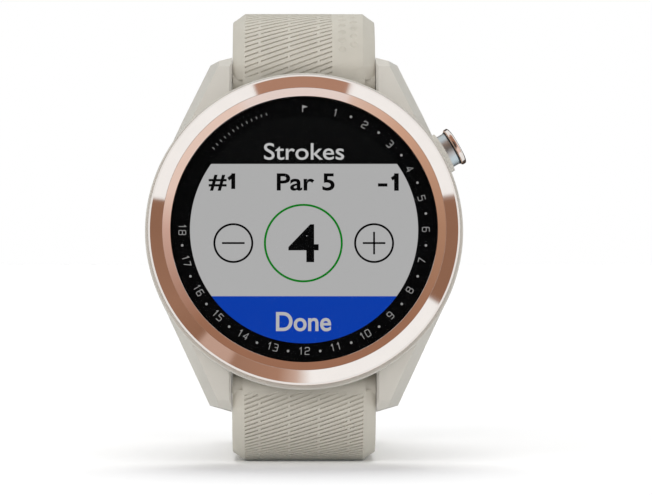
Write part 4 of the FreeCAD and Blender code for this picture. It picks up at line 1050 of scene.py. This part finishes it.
def oblong(half_wide, low, high):
    """The four corners of a rectangle, anticlockwise from the lower left."""
    return [(-half_wide, low), (half_wide, low), (half_wide, high), (-half_wide, high)]


def keeper_mesh(name, place):
    """A keeper: a soft-edged band of silicone bent into a rounded loop."""
    path = rounded(oblong(KEEPER_HALF_WIDE, KEEPER_LOW, KEEPER_HIGH), 1.7, 8)
    section = rounded(oblong(KEEPER_WALL / 2, -KEEPER_LENGTH / 2, KEEPER_LENGTH / 2), 0.35, 3)
    points, faces = [], []
    total, size = len(path), len(section)
    for i, here in enumerate(path):
        way = (path[(i + 1) % total] - path[i - 1]).normalized()
        out = Vector((way.y, -way.x))
        for across, along in section:
            spot = here + out * across
            points.append(place @ (Vector((spot.x, along, spot.y)) * MM))
        this, following = i * size, (i + 1) % total * size
        for j in range(size):
            k = (j + 1) % size
            faces.append((this + j, this + k, following + k, following + j))
    return mesh_from(name, points, faces)


def loop_place(y, z, turn=0.0):
    """A placement in the loop frame, turned about the strap's width."""
    origin = Vector(in_loop([(0, y, z)])[0])
    return Matrix.Translation(origin) @ Matrix.Rotation(turn, 4, "X")


# --- operators -----------------------------------------------------------------

class GOLFWATCH_OT_case(bpy.types.Operator):
    """Finish the case body and the rear cover"""

    bl_idname = "golf_watch.case"
    bl_label = "Case"

    def execute(self, context):
        dress("case_body", "rear_cover", "rear_cover_gasket", "rear_cover_screws",
              "charging_contact_holder", "charging_contacts")
        return {"FINISHED"}


class GOLFWATCH_OT_bezel(bpy.types.Operator):
    """Turn the faceted bezel with softly polished edges"""

    bl_idname = "golf_watch.bezel"
    bl_label = "Bezel"

    def execute(self, context):
        points, faces = turned(rounded(BEZEL_PROFILE, bezel_settings().edge_round / MM, 3), 288)
        mesh = mesh_from("bezel_ring", in_watch(points), faces)
        soften(mesh, BEZEL_SOFT_ANGLE)
        set_up(add_object("bezel_ring", mesh, mixed("bezel_metal")), "watch", "bezel_metal", "bezel")
        return {"FINISHED"}


class GOLFWATCH_OT_lens(bpy.types.Operator):
    """Finish the glass and its gasket"""

    bl_idname = "golf_watch.lens"
    bl_label = "Lens"

    def execute(self, context):
        dress("lens_gasket")
        steps = 3
        rim = rounded(GLASS_BEVEL, 0.03, steps)[steps + 1:]
        outline = [(0, GLASS_BACK), (0, GLASS_FRONT), *rim, (GLASS_RADIUS, GLASS_BACK)]
        points, faces = turned(outline, 192)
        mesh = mesh_from("lens_glass", in_watch(points), faces)
        soften(mesh, 30)
        set_up(add_object("lens_glass", mesh, mixed("lens_glass")), "watch", "lens_glass", "lens")
        return {"FINISHED"}


class GOLFWATCH_OT_dial(bpy.types.Operator):
    """Print the black border, the hole numbers, the dots between them, the ticks and the flag"""

    bl_idname = "golf_watch.dial"
    bl_label = "Dial border"

    def execute(self, context):
        dial = context.scene.golf_watch_dial
        border = Artwork()
        border.ring((0, 0), BORDER_RADIUS, dial.window_radius / MM, 192)
        border.plate("dial_border", BORDER_DEPTH, black_ink("black_ink"))
        height, radius = dial.numeral_height / MM, dial.numeral_radius / MM
        numbers, dots = Artwork(), Artwork()
        for hole in range(1, dial.holes + 1):
            angle = math.radians(90 - NUMBER_STEP * hole)
            add_number(numbers, hole, angle, radius, height, hole > LAST_OUTWARD)
            if hole < dial.holes:
                angle = math.radians(90 - NUMBER_STEP * (hole + 0.5))
                dots.disc((DOT_CIRCLE * math.cos(angle), DOT_CIRCLE * math.sin(angle)), DOT_RADIUS)
        add_flag(numbers, radius, height)
        for angle in TICK_BEARINGS:
            way = Vector((math.cos(angle), math.sin(angle)))
            numbers.stroke([way * TICK_INNER, way * TICK_OUTER], TICK_WIDTH)
        ink = pale_ink("pale_ink", dial.ink)
        numbers.plate("dial_numbers", PRINT_DEPTH, ink)
        dots.plate("dial_dots", PRINT_DEPTH, ink)
        return {"FINISHED"}


class GOLFWATCH_OT_display(bpy.types.Operator):
    """Light the display: title band, field, counter with its buttons, answer band"""

    bl_idname = "golf_watch.display"
    bl_label = "Display"

    def execute(self, context):
        show = context.scene.golf_watch_display
        dress("touch_panel", "display_panel", "backlight")
        self.band("display_title_band", grey(0.0018), TITLE_BOTTOM, SCREEN_HALF)
        self.band("display_field", show.field, ANSWER_TOP, TITLE_BOTTOM)
        self.band("display_answer_band", show.accent, -SCREEN_HALF, ANSWER_TOP)
        dark = lit_display("lit_black", grey(0.0008))
        lights = {"dark": dark, "pale": lit_display("lit_pale", grey(0.56)),
                  "mist": lit_display("lit_mist", grey(0.5))}
        for setting, box, tone, weight in WORDS:
            self.write(f"display_{setting}", getattr(show, setting), box, lights[tone], weight)
        circle = Artwork()
        circle.ring((-0.1, KEY_HEIGHT), *COUNTER_RING, 128)
        green = lit_display("lit_green", (0.004, 0.19, 0.012))
        circle.plate("display_green_circle", SCREEN_DEPTH, green)
        keys = Artwork()
        for sign, x in KEY_PLACES.items():
            keys.ring((x, KEY_HEIGHT), *KEY_RING, 80)
            keys.stroke([(x - SIGN_REACH, KEY_HEIGHT), (x + SIGN_REACH, KEY_HEIGHT)], SIGN_WIDTH)
            if sign == "plus":
                keys.stroke([(x, -3.42), (x, -2.0)], SIGN_WIDTH)
                keys.stroke([(x, -1.74), (x, -0.32)], SIGN_WIDTH)
        keys.plate("display_keys", SCREEN_DEPTH, dark)
        return {"FINISHED"}

    def band(self, name, colour, low, high):
        """A slice of the round display between two heights."""
        art = Artwork()
        heights = np.linspace(low, high, 60)
        right = [(math.sqrt(SCREEN_RADIUS ** 2 - h * h), h) for h in heights]
        art.polygon(right + [(-x, h) for x, h in reversed(right)])
        art.plate(name, BAND_DEPTH, lit_display(f"{name}_light", colour))

    def write(self, name, words, box, finish, weight):
        """A word on the display, fitted to its box; a 1 at its end gets a flag."""
        left, right, bottom, top = box
        art = lettering(words, left, right, bottom, top, weight)
        if words.endswith("1"):
            art.polygon([(right - 0.3, top), (right - 1.08, top - 0.6), (right - 0.84, top - 1.0),
                         (right - 0.3, top - 0.62)])
        art.plate(name, SCREEN_DEPTH, finish)


class GOLFWATCH_OT_button(bpy.types.Operator):
    """Turn the button's cap and finish its ring, barrel and inner parts"""

    bl_idname = "golf_watch.button"
    bl_label = "Button"

    def execute(self, context):
        dress("button_ring", "button_stem", "button_seals", "button_retaining_clip", "button_spring",
              "button_switch", "switch_bracket")
        points, faces = turned(BUTTON_PROFILE, 120)
        mesh = mesh_from("button_cap_turned", in_watch(self.to_axis(points)), faces)
        soften(mesh, 35)
        cap = add_object("button_cap_turned", mesh, mixed("button_gold"))
        set_up(cap, "button", "button_gold", "button_cap")
        return {"FINISHED"}

    def to_axis(self, points):
        """Move turned points onto the button's axis."""
        c, s = math.cos(BUTTON_BEARING), math.sin(BUTTON_BEARING)
        return [(along * c - q * s, BUTTON_DEPTH + t, along * s + q * c) for q, along, t in points]


class GOLFWATCH_OT_inside(bpy.types.Operator):
    """Finish the boards, battery, antenna parts and display frame inside the case"""

    bl_idname = "golf_watch.inside"
    bl_label = "Inside parts"

    def execute(self, context):
        dress("display_frame", "display_flex", "main_board", "processor_shield", "memory_chip",
              "satellite_receiver", "radio_module", "motion_sensor", "power_chip", "display_connector",
              "battery_connector", "charging_connector", "board_capacitors", "antenna_contacts", "battery",
              "battery_pad", "battery_lead", "vibration_motor", "board_screws")
        return {"FINISHED"}


class GOLFWATCH_OT_spring_bars(bpy.types.Operator):
    """Finish the quick-release spring bars"""

    bl_idname = "golf_watch.spring_bars"
    bl_label = "Spring bars"

    def execute(self, context):
        dress("upper_spring_bar", "upper_bar_spring", "upper_release_pin",
              "lower_spring_bar", "lower_bar_spring", "lower_release_pin")
        return {"FINISHED"}


class GOLFWATCH_OT_upper_strap(bpy.types.Operator):
    """Mould the upper strap: slanted grooves, smooth margin with dimples, loop for the buckle"""

    bl_idname = "golf_watch.upper_strap"
    bl_label = "Upper strap"

    def execute(self, context):
        band = context.scene.golf_watch_band
        course = StrapCourse(1, UPPER_SWEEP)
        ribs = Ribs(course, band, band.upper_pitch / MM, course.neck + UPPER_PHASE,
                    (-RIB_EDGE, MARGIN_START), course.length)
        mesh = strap_mesh("upper_strap_ribbed", course, ribs, 0.0)
        strap = add_object("upper_strap_ribbed", mesh, mixed("strap_silicone"))
        add_knuckle(strap, course)
        self.shape_end(strap, course)
        self.press_dimples(strap, course)
        soften(strap.data, 34)
        set_up(strap, "upper_band", "strap_silicone", "upper_strap")
        return {"FINISHED"}

    def shape_end(self, strap, course):
        """The eye round the buckle's bar and the notch for the tongue."""
        centre = course.around(course.hub, REAR_RADIUS - STRAP_THICK / 2, -UPPER_SWEEP)
        cross_rod(strap, centre, EYE_RADIUS, HALF_STRAP, "UNION", 56)
        cross_rod(strap, centre, EYE_HOLE, BORE_REACH, "DIFFERENCE", 32)
        place = loop_place(*centre, -UPPER_SWEEP) @ Matrix.Translation((0, NOTCH_SHIFT * MM, 0))
        boolean(strap, box_tool(place, [side * MM for side in TONGUE_NOTCH]), "DIFFERENCE")

    def press_dimples(self, strap, course):
        """Two staggered rows of shallow dimples in the smooth margin, like those on a golf ball."""
        shape = bmesh.new()
        for row, x in enumerate(DIMPLE_ROWS):
            along = course.neck + DIMPLE_START + row * DIMPLE_PITCH / 2
            while along < course.neck + course.arc + DIMPLE_END:
                outer, inner = course.faces_at(along)
                way = (outer - inner) / STRAP_THICK
                centre = in_loop([(x, *(outer + way * (DIMPLE_RADIUS - DIMPLE_SINK)))])[0]
                bmesh.ops.create_icosphere(shape, subdivisions=3, radius=DIMPLE_RADIUS * MM,
                                           matrix=Matrix.Translation(Vector(centre)))
                along += DIMPLE_PITCH
        boolean(strap, tool_object(shape), "DIFFERENCE")


class GOLFWATCH_OT_lower_strap(bpy.types.Operator):
    """Mould the lower strap: slanted grooves, a plain lane with the adjustment holes, rounded tip"""

    bl_idname = "golf_watch.lower_strap"
    bl_label = "Lower strap"

    def execute(self, context):
        band = context.scene.golf_watch_band
        course = StrapCourse(-1, LOWER_SWEEP)
        ribs = Ribs(course, band, band.lower_pitch / MM, course.neck + LOWER_PHASE,
                    (-RIB_EDGE, RIB_EDGE), course.neck + LANE_START)
        mesh = strap_mesh("lower_strap_ribbed", course, ribs, TIP_RADIUS)
        strap = add_object("lower_strap_ribbed", mesh, mixed("strap_silicone"))
        add_knuckle(strap, course)
        for foot, head in strap_holes(course):
            boolean(strap, rod_tool(HOLE_RADIUS * MM, foot, head, 36), "DIFFERENCE")
        soften(strap.data, 34)
        set_up(strap, "lower_band", "strap_silicone", "lower_strap")
        return {"FINISHED"}


class GOLFWATCH_OT_keepers(bpy.types.Operator):
    """Mould the two keepers"""

    bl_idname = "golf_watch.keepers"
    bl_label = "Keepers"

    def execute(self, context):
        hub = np.array((REAR_DEPTH, REAR_HEIGHT))
        reach = REAR_RADIUS - STRAP_THICK - KEEPER_PLAY
        for node, body, turn in (("sliding_keeper", "keeper", FREE_KEEPER_SWEEP),
                                 ("fixed_keeper", "upper_band", FIXED_KEEPER_SWEEP)):
            foot = hub + np.array((math.sin(turn), math.cos(turn))) * reach
            mesh = keeper_mesh(f"{node}_moulded", loop_place(*foot, -turn))
            soften(mesh, 40)
            keeper = add_object(f"{node}_moulded", mesh, mixed("strap_silicone"))
            set_up(keeper, body, "strap_silicone", node)
        return {"FINISHED"}


class GOLFWATCH_OT_buckle(bpy.types.Operator):
    """Finish the buckle's frame, bar and tongue"""

    bl_idname = "golf_watch.buckle"
    bl_label = "Buckle"

    def execute(self, context):
        dress("buckle_frame", "buckle_bar", "buckle_tongue")
        return {"FINISHED"}


# The stage, in metres.
FLOOR_REACH = 6.0
CAMERA_ACROSS = -0.00201
CAMERA_HEIGHT = 0.02977
LENS_SHIFT = 0.0561


class GOLFWATCH_OT_stage(bpy.types.Operator):
    """Set the pale floor, the camera, the soft lights and the studio's reflections"""

    bl_idname = "golf_watch.stage"
    bl_label = "Stage"

    def execute(self, context):
        stage = context.scene.golf_watch_stage
        self.lay_floor(stage)
        self.place_camera(context, stage)
        self.hang_lights()
        self.paint_surround(context, stage)
        context.scene.view_settings.view_transform = "Standard"
        return {"FINISHED"}

    def lay_floor(self, stage):
        """A wide pale floor that the watch stands on."""
        mesh = bpy.data.meshes.new("floor")
        corners = [(x, y, 0) for x, y in oblong(FLOOR_REACH, -FLOOR_REACH, FLOOR_REACH)]
        mesh.from_pydata(corners, [], [(0, 1, 2, 3)])
        mix = Recipe("floor_paint", Specular_IOR_Level=0.0)
        mix.colour(mix.blend(mix.noise(40.0), shade(stage.floor, 0.995), shade(stage.floor, 1.0)))
        mix.rough(0.9)
        floor = add_object("floor", mesh, mix.material)
        floor.visible_glossy = False

    def place_camera(self, context, stage):
        """The camera looks level along the ground's Y axis."""
        retire("camera")
        lens = bpy.data.cameras.new("camera")
        lens.lens = stage.focal
        lens.sensor_width = 36.0
        lens.clip_start, lens.clip_end = 0.01, 50.0
        camera = bpy.data.objects.new("camera", lens)
        lens.shift_x = LENS_SHIFT
        camera.location = (CAMERA_ACROSS, -stage.distance, CAMERA_HEIGHT)
        camera.rotation_euler = (math.radians(90), 0, 0)
        context.scene.collection.objects.link(camera)
        context.scene.camera = camera

    def hang_lights(self):
        """A wide, soft light from above and behind, and a weaker one from the front left."""
        self.sky("top_light", (0.0, 0.6, 1.0), 1.68, 40)
        self.sky("front_light", (-0.45, -0.8, 0.5), 0.35, 50)

    def sky(self, name, way, strength, spread):
        """A far, wide light that isn't mirrored in the metal."""
        retire(name)
        lamp = bpy.data.lights.new(name, "SUN")
        lamp.energy = strength
        lamp.angle = math.radians(spread)
        light = bpy.data.objects.new(name, lamp)
        light.rotation_euler = (-Vector(way)).to_track_quat("-Z", "Y").to_euler()
        light.visible_glossy = False
        bpy.context.scene.collection.objects.link(light)

    def paint_surround(self, context, stage):
        """A white surround, soft light for matt surfaces, and a studio of cards for polished ones."""
        world = bpy.data.worlds.new("studio")
        context.scene.world = world
        world.use_nodes = True
        tree = world.node_tree
        tree.nodes.clear()
        kit = WorldKit(tree)
        mirror = kit.background(kit.studio_cards(), 1.0)
        soft = kit.background(kit.front_glow(), stage.daylight)
        plain = kit.background((1, 1, 1, 1), 1.0)
        path = tree.nodes.new("ShaderNodeLightPath")
        matt_or_mirror = kit.choose(path.outputs["Is Glossy Ray"], soft, mirror)
        everything = kit.choose(path.outputs["Is Camera Ray"], matt_or_mirror, plain)
        tree.links.new(everything, tree.nodes.new("ShaderNodeOutputWorld").inputs["Surface"])


class WorldKit:
    """Short ways to build the world's nodes."""

    def __init__(self, tree):
        self.tree = tree

    def background(self, colour, strength):
        """A background of one colour or of a colour field."""
        node = self.tree.nodes.new("ShaderNodeBackground")
        node.inputs["Strength"].default_value = strength
        join(self.tree, node.inputs["Color"], colour)
        return node.outputs[0]

    def choose(self, switch, first, second):
        """The second shader where the switch is on, else the first."""
        node = self.tree.nodes.new("ShaderNodeMixShader")
        self.tree.links.new(switch, node.inputs[0])
        self.tree.links.new(first, node.inputs[1])
        self.tree.links.new(second, node.inputs[2])
        return node.outputs[0]

    def apply(self, kind, operation, sources):
        """A vector or number operation on its sources."""
        node = self.tree.nodes.new(kind)
        node.operation = operation
        for socket, source in zip(node.inputs, sources):
            join(self.tree, socket, source)
        return node

    def vector(self, operation, *sources):
        """A vector operation."""
        node = self.apply("ShaderNodeVectorMath", operation, sources)
        return node.outputs["Value"] if operation == "DOT_PRODUCT" else node.outputs[0]

    def number(self, operation, *sources):
        """A number operation."""
        return self.apply("ShaderNodeMath", operation, sources).outputs[0]

    def ramp(self, field, stops):
        """A colour ramp over 0...1 from a list of (place, colour)."""
        node = self.tree.nodes.new("ShaderNodeValToRGB")
        self.tree.links.new(field, node.inputs[0])
        marks = node.color_ramp.elements
        while len(marks) < len(stops):
            marks.new(0.5)
        for mark, (place, colour) in zip(marks, stops):
            mark.position = place
            mark.color = (*colour, 1.0)
        return node.outputs[0]

    def mix(self, switch, first, second):
        """The second colour where the switch is 1."""
        node = self.tree.nodes.new("ShaderNodeMix")
        node.data_type = "RGBA"
        self.tree.links.new(switch, node.inputs[0])
        for socket, source in ((node.inputs[6], first), (node.inputs[7], second)):
            given = isinstance(source, bpy.types.NodeSocket)
            join(self.tree, socket, source if given else (*source, 1.0))
        return node.outputs[2]

    def front_glow(self):
        """Soft light that grows stronger toward the front of the dial."""
        way = self.tree.nodes.new("ShaderNodeTexCoord").outputs["Generated"]
        ahead = self.vector("DOT_PRODUCT", self.vector("NORMALIZE", way), GLOW_WAY)
        field = self.number("ADD", self.number("MULTIPLY", ahead, 0.5), 0.5)
        return self.ramp(field, GLOW_STOPS)

    def studio_cards(self):
        """The studio seen by polished metal, laid out by the tilt and bearing of the facet."""
        way = self.tree.nodes.new("ShaderNodeTexCoord").outputs["Generated"]
        facing = self.vector("NORMALIZE", self.vector("ADD", way, (0, -1, 0)))
        outward = (0, -math.cos(LEAN), math.sin(LEAN))
        upward = (0, math.sin(LEAN), math.cos(LEAN))
        tilt = self.number("ARCCOSINE", self.vector("DOT_PRODUCT", facing, outward))
        bearing = self.number("ARCTAN2", self.vector("DOT_PRODUCT", facing, upward),
                              self.vector("DOT_PRODUCT", facing, (1, 0, 0)))
        turn = self.number("ADD", self.number("DIVIDE", bearing, 2 * math.pi), 0.5)
        main = self.ramp(turn, bearing_stops(MAIN_CARDS))
        inner = self.ramp(turn, bearing_stops(INNER_CARDS))
        shades = self.mix(self.number("GREATER_THAN", tilt, MAIN_TILT), inner, main)
        shades = self.mix(self.number("GREATER_THAN", tilt, RIM_TILT), shades, RIM_LIGHT)
        shades = self.mix(self.number("GREATER_THAN", tilt, SIDE_TILT), shades, SIDE_LIGHT)
        return self.mix(self.number("LESS_THAN", tilt, FACE_TILT), shades, FACE_LIGHT)


# Soft light: the way it comes from, and its strength from behind (0) to ahead (1).
GLOW_WAY = (0, -0.98, 0.2)
GLOW_STOPS = [(0, grey(0.36)), (0.5, grey(0.38)), (0.75, grey(0.85)), (1, grey(1.6))]

# Tilt of a facet away from the way the dial faces, at which each zone begins:
# below the first a face is as good as flat, then come the bezel's inner facet,
# its main facet, its rim and the side wall.
FACE_TILT = math.radians(13)
MAIN_TILT = math.radians(29.5)
RIM_TILT = math.radians(37)
SIDE_TILT = math.radians(62)
FACE_LIGHT = (0.05, 0.05, 0.05)
RIM_LIGHT = (0.86, 1.14, 1.32)
SIDE_LIGHT = (0.05, 0.04, 0.035)

# Bearing round the dial in degrees, anticlockwise from the wearer's right, and
# the light that a polished facet facing that way mirrors. Two entries close
# together are the edge of a card.
LIT = (0.94, 1.25, 1.46)
DIM = (0.28, 0.19, 0.14)
DUSK = (0.43, 0.31, 0.25)
GLEAM = (0.54, 0.48, 0.45)
GLOW = (0.81, 0.93, 1.04)
HAZE = (0.81, 0.83, 0.85)
SHADE = (0.33, 0.215, 0.156)
EMBER = (0.42, 0.31, 0.23)
MAIN_CARDS = [
    (-180, DIM), (-150, (0.33, 0.23, 0.175)), (-134, DIM), (-132, GLEAM), (-120, GLEAM),
    (-118, (0.34, 0.25, 0.20)), (-100, (0.40, 0.29, 0.23)), (-93, (0.58, 0.55, 0.53)), (-87, LIT),
    (-29, LIT), (-28, DIM), (12.5, DIM), (13.5, LIT), (71.5, LIT), (72.5, DUSK), (108.5, DUSK),
    (109.5, LIT), (167.5, LIT), (168.5, DIM), (180, DIM),
]
INNER_CARDS = [
    (-180, EMBER), (-135, (0.62, 0.50, 0.41)), (-110, (0.72, 0.70, 0.68)), (-108, GLOW), (-66, GLOW),
    (-60, HAZE), (-15, HAZE), (0, (0.61, 0.53, 0.52)), (42, SHADE), (138, SHADE), (180, EMBER),
]


def bearing_stops(cards):
    """Colour ramp stops from bearings in degrees."""
    return [(bearing / 360 + 0.5, light) for bearing, light in cards]


# --- panel and registration ----------------------------------------------------

STEPS = [
    GOLFWATCH_OT_case, GOLFWATCH_OT_bezel, GOLFWATCH_OT_lens, GOLFWATCH_OT_dial, GOLFWATCH_OT_display,
    GOLFWATCH_OT_button, GOLFWATCH_OT_inside, GOLFWATCH_OT_spring_bars, GOLFWATCH_OT_upper_strap,
    GOLFWATCH_OT_lower_strap, GOLFWATCH_OT_keepers, GOLFWATCH_OT_buckle, GOLFWATCH_OT_stage,
]

SETTINGS = {
    "golf_watch_case": CaseSettings,
    "golf_watch_bezel": BezelSettings,
    "golf_watch_dial": DialSettings,
    "golf_watch_display": DisplaySettings,
    "golf_watch_band": BandSettings,
    "golf_watch_stage": StageSettings,
}


class GOLFWATCH_PT_panel(bpy.types.Panel):
    """Every step of finishing the watch, with its settings"""

    bl_idname = "GOLFWATCH_PT_panel"
    bl_label = "Golf Watch"
    bl_space_type = "VIEW_3D"
    bl_region_type = "UI"
    bl_category = "Golf Watch"

    def draw(self, context):
        for name, group in SETTINGS.items():
            box = self.layout.box()
            for prop in group.__annotations__:
                box.prop(getattr(context.scene, name), prop)
        for step in STEPS:
            self.layout.operator(step.bl_idname)


def register():
    for group in (*SETTINGS.values(), *STEPS, GOLFWATCH_PT_panel):
        bpy.utils.register_class(group)
    for name, group in SETTINGS.items():
        setattr(bpy.types.Scene, name, PointerProperty(type=group))


def unregister():
    for name in SETTINGS:
        delattr(bpy.types.Scene, name)
    for group in (GOLFWATCH_PT_panel, *reversed(STEPS), *SETTINGS.values()):
        bpy.utils.unregister_class(group)


def main():
    register()
    for step in STEPS:
        area, name = step.bl_idname.split(".")
        getattr(getattr(bpy.ops, area), name)()
    bpy.context.view_layer.update()


if __name__ == "__main__":
    main()
